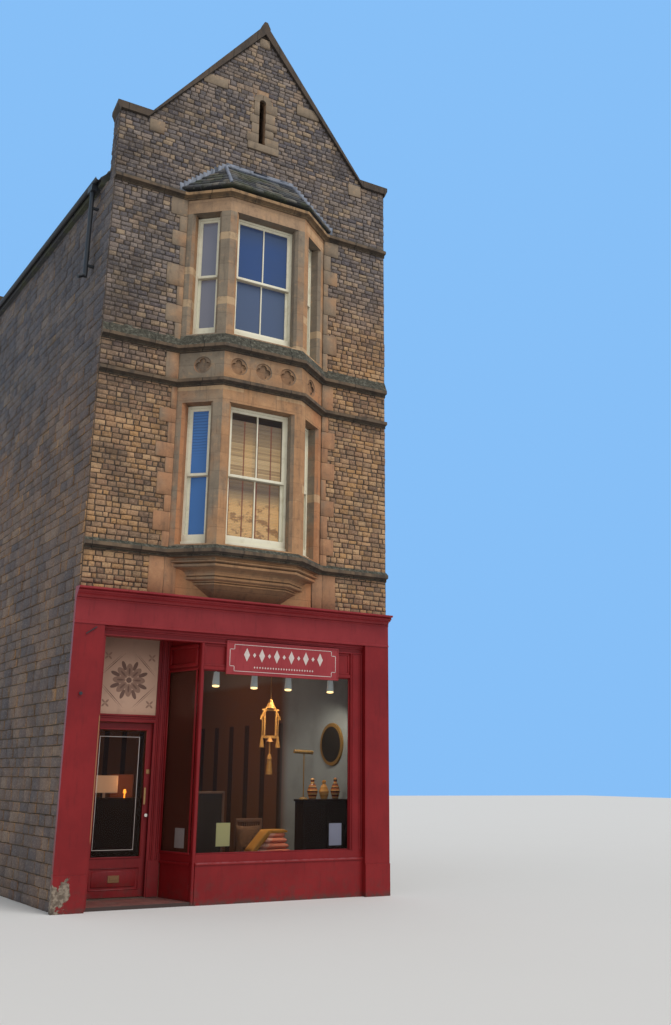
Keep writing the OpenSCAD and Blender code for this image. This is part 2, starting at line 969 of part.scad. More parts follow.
module upper_glass() {
    color("lightblue")
        bay_panes(upper_sill, upper_head);
}

module pilaster(x0, x1) {
    bar(x0, x1, -pilaster_d, 0, 0, shop_head);
    bar(x0, x1, -pilaster_d - plinth_out, 0, 0, plinth_h);
}

module pilasters() {
    color(red) {
        pilaster(-shop_left, shop_l);
        pilaster(shop_r, shop_right);
    }
}

module across_front(section, x0, x1) {
    translate([x0, 0, 0])
        rotate([90, 0, 90])
            linear_extrude(x1 - x0)
                polygon([for (p = section) [-p[0], p[1]]]);
}

module fascia() {
    color(red)
        across_front(
            [
                [0, shop_head], [pilaster_d + 12, shop_head], [pilaster_d + 12, shop_head + 25],
                [pilaster_d, shop_head + 37], [pilaster_d, shop_head + fascia_h], [0, shop_head + fascia_h]
            ],
            -shop_left, shop_right
        );
}

cornice_z = shop_head + fascia_h;
cornice_top = first_floor_z - 10;

module shop_cornice() {
    h = cornice_top - cornice_z;
    front = pilaster_d + cornice_out;
    color(red)
        across_front(
            concat(
                [[0, cornice_z]],
                roll([pilaster_d + 1, cornice_z], [pilaster_d + 1, cornice_z + 0.14 * h]),
                cove([pilaster_d + 10, cornice_z + 0.16 * h],
                     [pilaster_d + 0.4 * cornice_out, cornice_z + 0.4 * h]),
                [[pilaster_d + 0.5 * cornice_out, cornice_z + 0.42 * h],
                 [pilaster_d + 0.5 * cornice_out, cornice_z + 0.5 * h]],
                roll([pilaster_d + 0.6 * cornice_out, cornice_z + 0.52 * h],
                     [pilaster_d + 0.6 * cornice_out, cornice_z + 0.7 * h]),
                [[front, cornice_z + 0.74 * h], [front, cornice_z + 0.88 * h], [0, cornice_top]]
            ),
            -shop_left, shop_right
        );
}

module sign_board() {
    z1 = shop_head - sign_drop;
    color(red)
        bar(sign_x - sign_w / 2, sign_x + sign_w / 2, -sign_t, 0, z1 - sign_h, z1);
}

module head_rail() {
    color(red)
        bar(shop_l, shop_r, 0, timber_t, transom_top, shop_head);
}

// Reeds side by side from x on, half sunk in a face at y.
module reeds(x, y, count, z0, z1) {
    for (i = [0:count - 1])
        translate([x + reed_gap + reed_r + i * (2 * reed_r + reed_gap), y, z0])
            cylinder(h = z1 - z0, r = reed_r, $fn = 24);
}

reeds_w = 2 * (2 * reed_r + reed_gap) + reed_gap;

// Round-nosed corner post of the window and the wide reeded post at its right.
module window_posts() {
    nose_y = bar_w / 2 - stall_out;
    color(red) {
        union() {
            bar(-corner_x - bar_w / 2, -corner_x + bar_w / 2, nose_y, timber_t, 0, transom_top);
            translate([-corner_x, nose_y, 0])
                cylinder(h = transom_top, d = bar_w, $fn = 32);
        }
        union() {
            bar(post_x, shop_r, 0, timber_t, sill_z, transom_top);
            reeds(post_x, 0, 2, sill_z, transom_top);
            reeds(shop_r - reeds_w, 0, 2, sill_z, transom_top);
        }
    }
}

// Sill of the front window with its rounded ledge, and the solid panels that stand on its transom.
module window_rails() {
    left = -corner_x + bar_w / 2;
    color(red) {
        across_front(
            concat(
                [[-timber_t, foot]],
                roll([stall_out, foot], [stall_out, foot + ledge_h]),
                [[0, foot + ledge_h + plinth_out / 2], [0, sill_z], [-timber_t, sill_z]]
            ),
            left, shop_r
        );
        bar(left, post_x, 0, timber_t, transom_z - bar_w, transom_z);
        bar(left, post_x, timber_t / 3, timber_t, transom_z, transom_top);
    }
}

module stallriser() {
    left = -corner_x + bar_w / 2;
    color(red)
        bar(left, shop_r, -stall_out, timber_t, 0, foot);
}

// Places a piece on the slanting side of the shop window: x runs inwards from the corner post.
module on_side() {
    translate([-corner_x - bar_w / 2, timber_t, 0])
        rotate([0, 0, side_turn])
            children();
}

module side_frame() {
    color(red)
        on_side()
            union() {
                bar(0, side_l, -bar_w, 0, foot, sill_z);
                bar(0, side_l, -bar_w, plinth_out, foot, foot + ledge_h);
                bar(0, side_l, -bar_w, 0, transom_z - bar_w, ceiling_z);
            }
}

module side_stallriser() {
    color(red)
        on_side()
            bar(0, side_l, -bar_w, -10, 0, foot);
}

module shop_glass() {
    mid = timber_t / 2;
    color("lightblue") {
        bar(-corner_x + bar_w / 2, post_x, mid, mid + shop_pane_t, sill_z, transom_z - bar_w);
        on_side()
            bar(20, side_l, -bar_w / 2, -bar_w / 2 + shop_pane_t, sill_z, transom_z - bar_w);
    }
}

module lobby_lining() {
    color(red)
        difference() {
            bar(shop_l, post_left, 0, door_y, 0, ceiling_z);
            bar(shop_l - 1, post_left + 1, -1, timber_t, transom_top, shop_head);
        }
}

module lobby_ceiling() {
    color(red)
        translate([0, 0, ceiling_z])
            linear_extrude(bar_w)
                polygon([
                    [shop_l, timber_t], side_point(0, 0), side_point(0, -bar_w),
                    side_point(side_l, -bar_w), [side_point(side_l, -bar_w)[0], door_y], [shop_l, door_y]
                ]);
}

// Post of the door frame between two x, with a plain block at its foot as far out as the reeds.
module door_post(x0, x1, block_x1) {
    bar(x0, x1, lobby_d, door_y, shop_floor_z, ceiling_z);
    bar(x0, block_x1, lobby_d - reed_r, lobby_d + 1, shop_floor_z, foot + ledge_h);
}

module door_posts() {
    stop_y = door_y - door_t - door_gap;
    stop_z = leaf_top + door_gap;
    right = -side_end_x - bar_w / 2;
    color(red) {
        union() {
            door_post(post_left, leaf_l - door_gap, leaf_l - door_gap);
            bar(leaf_l - door_gap - 1, leaf_l + stop_w, lobby_d, stop_y, shop_floor_z, stop_z);
            reeds(post_left + (hinge_post_w - reeds_w) / 2, lobby_d, 2, foot + ledge_h - 1, ceiling_z);
        }
        union() {
            door_post(-door_x + door_gap, right, right - reed_r - reed_gap);
            bar(-door_x - stop_w, -door_x + door_gap + 1, lobby_d, stop_y, shop_floor_z, stop_z);
            reeds(-door_x + door_gap + reed_r, lobby_d, 2, foot + ledge_h - 1, ceiling_z);
            reeds(right - reeds_w - reed_r, lobby_d, 2, foot + ledge_h - 1, ceiling_z);
        }
    }
}

module door_head() {
    color(red)
        bar(leaf_l - door_gap, -door_x + door_gap, lobby_d, door_y,
            leaf_top + door_gap, leaf_top + door_gap + door_head_h);
}

module over_door_panel() {
    color(cream)
        bar(leaf_l - door_gap, -door_x + door_gap, lobby_d + 30, door_y,
            leaf_top + door_gap + door_head_h, ceiling_z);
}

glass_z0 = leaf_z + stile_w + door_panel_h + door_rail_h;
glass_z1 = leaf_top - stile_w;

module shop_door() {
    leaf_r = -door_x;
    color(red)
        difference() {
            bar(leaf_l, leaf_r, door_y - door_t, door_y, leaf_z, leaf_top);
            bar(leaf_l + stile_w, leaf_r - stile_w, door_y - door_t - 1, door_y + 1, glass_z0, glass_z1);
            bar(leaf_l + stile_w, leaf_r - stile_w, door_y - door_t - 1, door_y - door_t + 12,
                leaf_z + stile_w, leaf_z + stile_w + door_panel_h);
        }
}

module door_glass() {
    mid = door_y - door_t / 2;
    color("lightblue")
        bar(leaf_l + stile_w, -door_x - stile_w, mid - pane_t / 2, mid + pane_t / 2, glass_z0, glass_z1);
}

knob_z = 1210;
knob_r = 24;
hinge_gap = 0.3;
hinge_t = 3;
hinge_w = 30;
plate_w = 160;
plate_h = 95;
plate_z = 318;

// Door knob, letter plate and the three hinges, whose knuckles turn just clear of the frame.
module door_fittings() {
    face = door_y - door_t;
    pin_y = door_y + sqrt(pow(knuckle_r + hinge_gap, 2) - pow(door_gap / 2, 2));
    color("goldenrod") {
        for (z = [leaf_z + stile_w, (leaf_z + leaf_top) / 2, leaf_top - stile_w - hinge_h]) {
            translate([leaf_l - door_gap / 2, pin_y, z])
                cylinder(h = hinge_h, r = knuckle_r, $fn = 32);
            bar(leaf_l - door_gap / 2, leaf_l + hinge_w, door_y, door_y + hinge_t + hinge_gap,
                z, z + hinge_h);
        }
        translate([-door_x - stile_w / 2, face, knob_z])
            rotate([90, 0, 0])
                cylinder(h = 40, r1 = knob_r / 2, r2 = knob_r, $fn = 32);
        bar(leaf_l + door_w / 2 - plate_w / 2, leaf_l + door_w / 2 + plate_w / 2,
            face + 12 - 6, face + 12, plate_z - plate_h / 2, plate_z + plate_h / 2);
    }
}

ground_floor();
lobby_floor();
left_party_wall();
right_party_wall();
front_piers();
shop_beam();
front_wall_left();
front_wall_right();
front_gable();
slit_surround();
gable_coping();
rear_wall_sides();
rear_wall_middle();
rear_gable();
rear_coping();
rear_sashes();
rear_glass();
first_floor();
second_floor();
attic_floor();
roof_left();
roof_right();
roof_ridge();
gutters();
downpipe();
string_a();
string_b();
string_c();
string_d();
bay_corbel();
bay_lower_piers();
bay_middle_band();
bay_upper_piers();
bay_head();
bay_roof();
lower_sashes();
lower_glass();
upper_sashes();
upper_glass();
pilasters();
fascia();
shop_cornice();
sign_board();
head_rail();
window_posts();
window_rails();
stallriser();
side_frame();
side_stallriser();
shop_glass();
lobby_lining();
lobby_ceiling();
door_posts();
door_head();
over_door_panel();
shop_door();
door_glass();
door_fittings();
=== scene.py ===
"""Looks of a narrow gabled stone shop house with a two-storey oriel bay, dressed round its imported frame."""

import math
import random

import bmesh
import bpy
import numpy as np
from mathutils import Matrix, Vector


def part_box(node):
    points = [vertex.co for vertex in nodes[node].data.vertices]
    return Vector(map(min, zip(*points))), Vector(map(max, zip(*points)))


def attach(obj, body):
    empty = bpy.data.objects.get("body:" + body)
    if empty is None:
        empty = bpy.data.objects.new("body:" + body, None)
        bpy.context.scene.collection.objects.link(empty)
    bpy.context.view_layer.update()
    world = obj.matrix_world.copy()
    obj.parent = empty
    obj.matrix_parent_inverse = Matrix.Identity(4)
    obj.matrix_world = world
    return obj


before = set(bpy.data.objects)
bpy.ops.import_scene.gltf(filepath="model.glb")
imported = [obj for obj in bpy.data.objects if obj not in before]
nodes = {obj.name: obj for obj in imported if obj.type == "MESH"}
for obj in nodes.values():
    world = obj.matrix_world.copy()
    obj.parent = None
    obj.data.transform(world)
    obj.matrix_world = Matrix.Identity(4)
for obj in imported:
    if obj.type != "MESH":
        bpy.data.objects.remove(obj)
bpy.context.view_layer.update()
scene = bpy.context.scene
east = Vector((1, 0, 0))
north = Vector((0, 1, 0))
level = Vector((0, 0, 1))

# The view from the pavement across the street, left of the house and looking up.
# Its place and lens were worked out from the levels and corners of the front.
photo_height = 1025
focal_length = 931.8
eye = Vector((-5.522, -13.639, 1.797))
yaw, pitch, roll = (math.radians(angle) for angle in (27.609, 15.819, 0.506))
ahead = Vector((math.sin(yaw) * math.cos(pitch), math.cos(yaw) * math.cos(pitch), math.sin(pitch)))
level_right = Vector((math.cos(yaw), -math.sin(yaw), 0))
level_up = level_right.cross(ahead)
right = math.cos(roll) * level_right + math.sin(roll) * level_up
up = math.cos(roll) * level_up - math.sin(roll) * level_right
camera = bpy.data.objects.new("street_camera", bpy.data.cameras.new("street_camera"))
camera.data.lens = focal_length / photo_height * camera.data.sensor_width
camera.data.clip_end = 500
camera.matrix_world = Matrix.Translation(eye) @ Matrix((right, up, -ahead)).transposed().to_4x4()
scene.collection.objects.link(camera)
scene.camera = camera
scene.view_settings.view_transform = "Standard"


# Finishes are node trees that are written as sums of values, and colours as numbers 0xRRGGBB.
# A finish may know the slot of the frame that it stands for.
def tint(colour):
    """A colour as it is seen, 0xRRGGBB, as Blender's own numbers."""
    shares = (channel / 255 for channel in colour.to_bytes(3, "big"))
    return (*(s / 12.92 if s <= 0.04045 else ((s + 0.055) / 1.055) ** 2.4 for s in shares), 1.0)


class Level:
    """A value in a node tree. Sums written with it become Math nodes."""

    def __init__(self, recipe, socket):
        self.recipe = recipe
        self.socket = socket

    def __rsub__(self, other):
        return self.recipe.node("ShaderNodeMath", {"operation": "SUBTRACT"}, (other, self))

    def rise(self, start, end):
        """0 at start, 1 at end and smooth between them; start may be the higher one."""
        limits = {"interpolation_type": "SMOOTHSTEP"}
        return self.recipe.node("ShaderNodeMapRange", limits, (self, start, end, 0.0, 1.0))

    def off(self, pitch=1.0):
        """0 in the middle of each step of pitch, and 0.5 where two steps meet."""
        return abs((self / pitch) % 1.0 - 0.5)


sums = {"__add__": "ADD", "__radd__": "ADD", "__sub__": "SUBTRACT", "__mul__": "MULTIPLY",
        "__truediv__": "DIVIDE", "__mod__": "FLOORED_MODULO", "__gt__": "GREATER_THAN",
        "__lt__": "LESS_THAN", "__abs__": "ABSOLUTE", "floor": "FLOOR", "most": "MAXIMUM",
        "least": "MINIMUM"}
for name, operation in sums.items():
    def work(self, *others, operation=operation):
        return self.recipe.node("ShaderNodeMath", {"operation": operation}, (self, *others))

    setattr(Level, name, work)


class Recipe:
    """A node tree that is built by one call for each node."""

    def __init__(self, tree):
        self.tree = tree

    def feed(self, socket, value):
        """Links a level to an input, or sets it to a plain number or colour."""
        if isinstance(value, Level):
            self.tree.links.new(value.socket, socket)
        elif socket.type == "RGBA" and isinstance(value, int):
            socket.default_value = tint(value)
        else:
            socket.default_value = value

    def node(self, kind, settings=None, values=(), out=0):
        """Adds a node, sets it up, feeds its sockets by place or name and gives one of its outputs."""
        made = self.tree.nodes.new(kind)
        for name, setting in (settings or {}).items():
            setattr(made, name, setting)
        for key, value in values.items() if isinstance(values, dict) else enumerate(values):
            self.feed(made.inputs[key], value)
        return Level(self, made.outputs[out])


class Finish(Recipe):
    """A material whose patterns are measured in metres on the house."""

    sockets = {"mirror": "Specular IOR Level", "metal": "Metallic", "lit": "Emission Color",
               "light": "Emission Strength"}

    def __init__(self, name, slot=None):
        self.slot = slot
        self.material = bpy.data.materials.new(name)
        self.material.use_nodes = True
        super().__init__(self.material.node_tree)
        self.shader = self.tree.nodes["Principled BSDF"]
        self.place = self.node("ShaderNodeTexCoord", out="Object")

    def axes(self):
        return [self.node("ShaderNodeSeparateXYZ", values=[self.place], out=axis) for axis in range(3)]

    def facing(self, axis):
        normal = self.node("ShaderNodeNewGeometry", out="Normal")
        return self.node("ShaderNodeSeparateXYZ", values=[normal], out=axis)

    def noise(self, scale, detail=4.0, stretch=(1, 1, 1), rough=0.6):
        """Smooth noise from 0 to 1, with about scale lumps to a metre along each axis after the stretch."""
        place = self.node("ShaderNodeVectorMath", {"operation": "MULTIPLY"}, (self.place, stretch))
        values = {"Vector": place, "Scale": scale, "Detail": detail, "Roughness": rough}
        return self.node("ShaderNodeTexNoise", values=values)

    def chance(self, *levels):
        """The same random number from 0 to 1 wherever the three levels are the same."""
        cell = self.node("ShaderNodeCombineXYZ", values=levels)
        return self.node("ShaderNodeTexWhiteNoise", values={"Vector": cell})

    def tone(self):
        """The number that each stone or slate of a laid face carries."""
        return self.node("ShaderNodeAttribute", {"attribute_name": "tone"}, out="Fac")

    def layers(self, colour, *coats):
        """Puts coats over a colour. Each is how much it covers, from 0 to 1, and a colour."""
        for amount, over in coats:
            colour = self.node("ShaderNodeMix", {"data_type": "RGBA"}, {0: amount, 6: colour, 7: over}, out=2)
        return colour

    def ramp(self, value, *colours):
        """Colours at even steps of a value from 0 to 1."""
        made = self.node("ShaderNodeValToRGB", values=[value])
        stops = made.socket.node.color_ramp.elements
        while len(stops) < len(colours):
            stops.new(1)
        for number, colour in enumerate(colours):
            stops[number].position = number / (len(colours) - 1)
            stops[number].color = tint(colour)
        return made

    def kinds(self, value, *colours):
        """One of several colours for a value from 0 to 1, with no blend between them."""
        chosen = self.ramp(value, *colours, colours[-1])
        chosen.socket.node.color_ramp.interpolation = "CONSTANT"
        return chosen

    def coat(self, colour, roughness, height=None, depth=0.002, **plain):
        """Feeds the shader. Height is the relief from 0 to 1 and depth what it stands for, in metres."""
        feeds = {self.sockets[key]: value for key, value in plain.items()}
        feeds |= {"Base Color": colour, "Roughness": roughness}
        if height is not None:
            feeds["Normal"] = self.node("ShaderNodeBump", values={"Distance": depth, "Height": height})
        for name, value in feeds.items():
            self.feed(self.shader.inputs[name], value)
        return self


def mottled(name, slot, first, second, scale=20, stretch=(1, 1, 1), gloss=0.5, **plain):
    """A finish that wavers between two colours."""
    made = Finish(name, slot)
    return made.coat(made.layers(first, (made.noise(scale, stretch=stretch), second)), gloss, **plain)


def keep(name, shape, finish, body="building"):
    """Makes a finished mesh a piece; when its finish knows a slot, the piece moves with a body of the frame.
    """
    mesh = shape
    if isinstance(shape, bmesh.types.BMesh):
        mesh = bpy.data.meshes.new(name)
        shape.to_mesh(mesh)
        shape.free()
    mesh.materials.append(finish.material)
    thing = bpy.data.objects.new(name, mesh)
    scene.collection.objects.link(thing)
    if finish.slot:
        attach(thing, body)
    return thing


def dress(finish, *names):
    """Gives nodes of the frame their finish."""
    for name in names:
        mesh = nodes[name].data
        mesh.materials.clear()
        mesh.materials.append(finish.material)


# The light of a bright day with the sun behind the house: soft, from above and from the street. Glass
# mirrors a pale sky, the camera sees a blue one, and a pale floor throws light up under the mouldings.
sky_light = (1.0, 0.98, 0.95, 1)
sky_seen = (0.50, 0.70, 0.92, 1)
sky_behind = (0.24, 0.52, 0.93, 1)
sky_strength = 0.52
world = bpy.data.worlds.new("open_sky")
world.use_nodes = True
scene.world = world
sky = Recipe(world.node_tree)
camera_ray, glossy_ray, glass_ray = (sky.node("ShaderNodeLightPath", out=f"Is {kind} Ray")
                                     for kind in ("Camera", "Glossy", "Transmission"))
lit_sky, pale_sky, blue_sky = (
    sky.node("ShaderNodeBackground", values={"Color": colour, "Strength": strength})
    for colour, strength in ((sky_light, sky_strength), (sky_seen, 1.0), (sky_behind, 1.0)))
mirrored_sky = sky.node("ShaderNodeMixShader", values=(glossy_ray.most(glass_ray), lit_sky, pale_sky))
whole_sky = sky.node("ShaderNodeMixShader", values=(camera_ray, mirrored_sky, blue_sky))
sky.feed(world.node_tree.nodes["World Output"].inputs["Surface"], whole_sky)

sun = bpy.data.objects.new("soft_high_light", bpy.data.lights.new("soft_high_light", "SUN"))
sun.data.energy = 1.45
sun.data.angle = math.radians(30)
sun.data.color = (1.0, 0.95, 0.88)
sun.rotation_euler = (math.radians(38), 0, math.radians(24))
scene.collection.objects.link(sun)

# The plain floor that the house stands on. It is no part of the house.
floor_reach = 70
floor_sheet = bmesh.new()
bmesh.ops.create_grid(floor_sheet, x_segments=1, y_segments=1, size=floor_reach)
floor_finish = Finish("pale_floor")
floor_finish.coat(floor_finish.layers(0xE0E2E4, (floor_finish.noise(0.4) * 0.12, 0xCED0D4)), 0.9)
keep("floor", floor_sheet, floor_finish)


# Shapes that many pieces share: blocks laid in courses on a flat face, bars and planed sticks. Small
# limestone blocks of the front are little higher than a brick, and each stands out from its mortar.
def block_pattern(edge, segments=1):
    """Two by two metre block without a back, its front edges rounded by edge; laying sets its size."""
    block = bmesh.new()
    bmesh.ops.create_cube(block, size=2)
    back = min(block.faces, key=lambda face: face.calc_center_median().z)
    bmesh.ops.delete(block, geom=[back], context="FACES_ONLY")
    front = [side for side in block.edges if all(corner.co.z > 0 for corner in side.verts)]
    bmesh.ops.bevel(block, geom=front, offset=edge, offset_type="OFFSET", affect="EDGES",
                    segments=segments, profile=0.5, material=-1)
    points = np.array([corner.co for corner in block.verts])
    faces = [[corner.index for corner in face.verts] for face in block.faces]
    block.free()
    return points, faces


def joined(name, points, faces, tones):
    """One mesh of many like copies: points is copies by corners by 3, and faces are those of one copy."""
    copies, corners = points.shape[:2]
    sizes = np.array([len(face) for face in faces])
    order = np.concatenate(faces)
    mesh = bpy.data.meshes.new(name)
    mesh.vertices.add(copies * corners)
    mesh.vertices.foreach_set("co", points.astype(np.float32).ravel())
    mesh.loops.add(copies * len(order))
    offsets = np.arange(copies)[:, None] * corners
    mesh.loops.foreach_set("vertex_index", (offsets + order).ravel().astype(np.int32))
    mesh.polygons.add(copies * len(sizes))
    starts = np.concatenate([[0], np.cumsum(sizes)[:-1]])
    first_loops = np.arange(copies)[:, None] * len(order) + starts
    mesh.polygons.foreach_set("loop_start", first_loops.ravel().astype(np.int32))
    mesh.update(calc_edges=True)
    tone = mesh.attributes.new("tone", "FLOAT", "POINT")
    tone.data.foreach_set("value", np.repeat(np.array(tones, np.float32), corners))
    return mesh


plain_tone = 0.5


def lay(name, blocks, face, finish, pattern, seed=1, rough=0.0, slant=0.0, sink=0.004, body="building"):
    """Lays blocks on a flat face as one piece. A block is (left, right, low, high, proud, tone) in metres
    from the face's corner, and the tone may be left out. Rough shifts each corner at random, and slant
    thins a block towards its top."""
    corner, along, upward = face
    out = along.cross(upward)
    points, faces = pattern
    ends = np.sign(np.round(points, 6))
    edges = points - ends
    laid = np.array([block[:5] for block in blocks])
    half = np.stack([laid[:, 1] - laid[:, 0], laid[:, 3] - laid[:, 2]], axis=1) / 2
    middle = np.stack([laid[:, 1] + laid[:, 0], laid[:, 3] + laid[:, 2]], axis=1) / 2
    flat = middle[:, None] + ends[None, :, :2] * half[:, None] + edges[None, :, :2]
    shift = np.random.default_rng(seed)
    flat += shift.uniform(-rough, rough, flat.shape)
    front = ends[:, 2] > 0
    proud = laid[:, 4][:, None] * (1 - slant * (ends[None, :, 1] + 1) / 2) + edges[None, :, 2]
    proud = proud + shift.uniform(-rough, rough, proud.shape) * 0.6
    depth = np.where(front[None, :], proud, -sink)
    spots = (np.array(corner) + flat[..., :1] * np.array(along) + flat[..., 1:] * np.array(upward)
             + depth[..., None] * np.array(out))
    mesh = joined(name, spots, faces, [(*block, plain_tone)[5] for block in blocks])
    return keep(name, mesh, finish, body)


def facing_street(y):
    """A face towards the street at a depth. Blocks on it are measured from the middle of the ground line."""
    return Vector((0, y, 0)), east, level


def courses(chance, low, high, left, right, course, length, joint, proud):
    """Courses of stones between two heights, with the ends that left and right give for a height."""
    base = low
    while base < high - 0.01:
        top = base + chance.uniform(*course)
        if top > high - course[0] * 0.6:
            top = high
        start = left((base + top) / 2)
        end = right((base + top) / 2)
        while start < end - 0.01:
            stop = start + chance.uniform(*length)
            if stop > end - length[0] * 0.6:
                stop = end
            yield (start + joint / 2, stop - joint / 2, base + joint / 2, top - joint / 2,
                   chance.uniform(*proud), chance.random())
            start = stop
        base = top


def wall_of(chance, left, right, low, high, sizes):
    """Stones of a rectangle of wall."""
    return list(courses(chance, low, high, lambda height: left, lambda height: right, **sizes))


def rod(shape, start, end, radius, sides=16, tip=None):
    """A round bar between two points, or a tapered one if its end has another radius."""
    start, end = Vector(start), Vector(end)
    far_radius = radius if tip is None else tip
    made = bmesh.ops.create_cone(shape, segments=sides, radius1=radius, radius2=far_radius,
                                 depth=(end - start).length, cap_ends=True)["verts"]
    turn = (end - start).to_track_quat("Z", "Y").to_matrix().to_4x4()
    bmesh.ops.transform(shape, verts=made, matrix=Matrix.Translation((start + end) / 2) @ turn)


def stick(shape, low, high, edge=0.003, segments=1):
    """A planed length of timber or metal with eased edges, between two corners."""
    made = bmesh.ops.create_cube(shape, size=1)["verts"]
    bmesh.ops.scale(shape, vec=[b - a for a, b in zip(low, high)], verts=made)
    bmesh.ops.translate(shape, vec=[(a + b) / 2 for a, b in zip(low, high)], verts=made)
    sides = dict.fromkeys(side for corner in made for side in corner.link_edges)
    bmesh.ops.bevel(shape, geom=list(sides), offset=edge, offset_type="OFFSET", affect="EDGES",
                    segments=segments, profile=0.5, material=-1)


def corners_of(node):
    return [corner.co for corner in nodes[node].data.vertices]


gable_low, gable_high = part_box("front_gable")
rear_low, rear_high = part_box("rear_gable")
house_left, house_right, house_rear = gable_low.x, gable_high.x, rear_high.y
attic_level = gable_low.z
strings = {letter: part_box("string_" + letter) for letter in "abcd"}
skew = (rear_low.x - house_left) / house_rear
bay_low, bay_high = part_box("bay_head")
shop_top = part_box("shop_cornice")[1].z
street_face = facing_street(0)

# The walls are coursed squared rubble in brown mortar. Their core is the frame's solids, plastered
# inside: brown boards and a pale side by the shop window, cream rooms above, and bare parapets.
mortar = Finish("rubble_core_and_plaster")
shop_ceiling = 4.3
x, y, z = mortar.axes()
indoors = (y > 0.2) * (y < house_rear - 0.2) * (abs(x - y * skew) < 0.93 * house_right)
board_gap = (x + y * 0.8).off(0.40).rise(0.34, 0.38) * (z < 2.75)
boarding = mortar.layers(0x7E5236, (board_gap * 0.85, 0x281A16),
                       (z.rise(3.45, 3.6) * (z < shop_ceiling), 0x887870))
parapet = mortar.ramp(mortar.noise(5, 6, rough=0.75), 0x423E3C, 0x686058, 0x8A7E70)
plaster = mortar.layers(boarding, ((x > 1.2) * y.rise(2.7, 2.3), 0xACBCC8), (z > shop_ceiling, 0xACA292),
                        (mortar.noise(1.5, 4).rise(0.4, 0.8) * 0.3, 0x5C4A3E),
                        (z > attic_level - 0.02, parapet))
brown_mortar = mortar.ramp(mortar.noise(3, 5), 0x362E28, 0x4E4339, 0x645648)
mortar.coat(mortar.layers(brown_mortar, (indoors, plaster)), 0.95, mortar.noise(90, 3), 0.002)
dress(mortar, "front_piers", "shop_beam", "front_wall_left", "front_wall_right", "front_gable",
      "rear_wall_sides", "rear_wall_middle", "rear_gable", "left_party_wall", "right_party_wall")

rubble = Finish("squared_rubble", "rubble")
x, y, z = rubble.axes()
warm_stones = rubble.kinds(rubble.tone(), 0xBC9672, 0xAA8666, 0xB88E62, 0x9E8066,
                           0xC29E78, 0x94765F, 0xB28E6E, 0xA8825C, 0xBC946C,
                           0x9C7A60)
sooty_stones = rubble.kinds(rubble.tone(), 0x92847C, 0x766E6E, 0x9E8A7A, 0x6A6568,
                            0xA4907A, 0x807775, 0x968A84, 0x726B6C, 0x8C7F77,
                            0x645F65)
soot_base = strings["c"][0].z
soot_line = z + rubble.noise(0.8, 3) * 2.6 - x * 0.35
# Stains in noise patches, with more of them towards the left, so the left of the front is darker.
stain_and_left_darkening = (rubble.noise(1.1, 5) + (0.0 - x).rise(0.0, house_right) * 0.10).rise(0.50, 0.72)
speckle = rubble.noise(38, 5, rough=0.7)
# Faces that turn to either side, on the side walls and returns, are painted a darker blue grey: painted
# shade.
stone_colour = rubble.layers(
    warm_stones, (soot_line.rise(soot_base + 1.4, soot_base + 3.9), sooty_stones),
    (((rubble.tone() * 61.0) % 1.0).rise(0.5, 1.0) * 0.35, 0x463E3A), (stain_and_left_darkening * 0.55, 0x3E3838),
    (abs(rubble.facing(0)).rise(0.5, 0.9) * 0.62, 0x484D5A),
    (speckle.rise(0.46, 0.72) * 0.5, 0x38302A), (speckle.rise(0.5, 0.25) * 0.35, 0xCEBCA0))
rubble.coat(stone_colour, 0.93, speckle + rubble.noise(14, 3) * 1.4, 0.008)

small_stones = {"course": (0.070, 0.096), "length": (0.080, 0.195), "joint": 0.013, "proud": (0.004, 0.020)}
hewn_block = block_pattern(0.008)
masonry = random.Random(4)
for name, left, right, seed in (("front_stones_left", house_left, bay_low.x, 7),
                                ("front_stones_right", bay_high.x, house_right, 9)):
    lay(name, wall_of(masonry, left, right, shop_top, attic_level, small_stones), street_face, rubble,
        hewn_block, seed, rough=0.005)

gable_corners = corners_of("front_gable")
shoulder = max(corner.z for corner in gable_corners if corner.x > house_right - 0.01)
rake_start = max(corner.x for corner in gable_corners
                 if abs(corner.z - shoulder) < 0.01 and corner.x < house_right - 0.01)
rake_top = gable_high.z
slit_low, slit_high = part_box("slit_surround")
slit_side = slit_high.x - 0.10


def gable_reach(height):
    """Half width of the gable wall at a height, under its coping."""
    if height < shoulder:
        return house_right
    return max(0.03, rake_start * (rake_top - height) / (rake_top - shoulder))


def gable_courses(chance, low, high, sizes, left=lambda height: -gable_reach(height), right=gable_reach):
    return list(courses(chance, low, high, left, right, **sizes))


gable_blocks = gable_courses(masonry, attic_level, slit_low.z, small_stones)
gable_blocks += gable_courses(masonry, slit_low.z, slit_high.z, small_stones, right=lambda height: -slit_side)
gable_blocks += gable_courses(masonry, slit_low.z, slit_high.z, small_stones, left=lambda height: slit_side)
gable_blocks += gable_courses(masonry, slit_high.z, rake_top - 0.12, small_stones)
lay("gable_stones", gable_blocks, street_face, rubble, hewn_block, 8, rough=0.005)


# The dressed stone of the bay, its corbel and the long and short blocks beside it is a golden
# limestone, cut smooth and set in thin joints. Rain has greyed its faces, and some blocks are newer.
# Painted light and shade lie on it too: greyer faces turned to the left, a warm glow low on the bay's
# sides and the blocks beside them, and dark undersides, roundel recesses and slit reveal.
bay_corner_x = max(corner.x for corner in corners_of("bay_head") if corner.y < bay_low.y + 0.001)
bay_slant = Vector((bay_high.x - bay_corner_x, -bay_low.y, 0))
slant_sine, slant_cosine = bay_slant.y / bay_slant.length, bay_slant.x / bay_slant.length
bay_block_height, bay_block_length = 0.305, 0.58


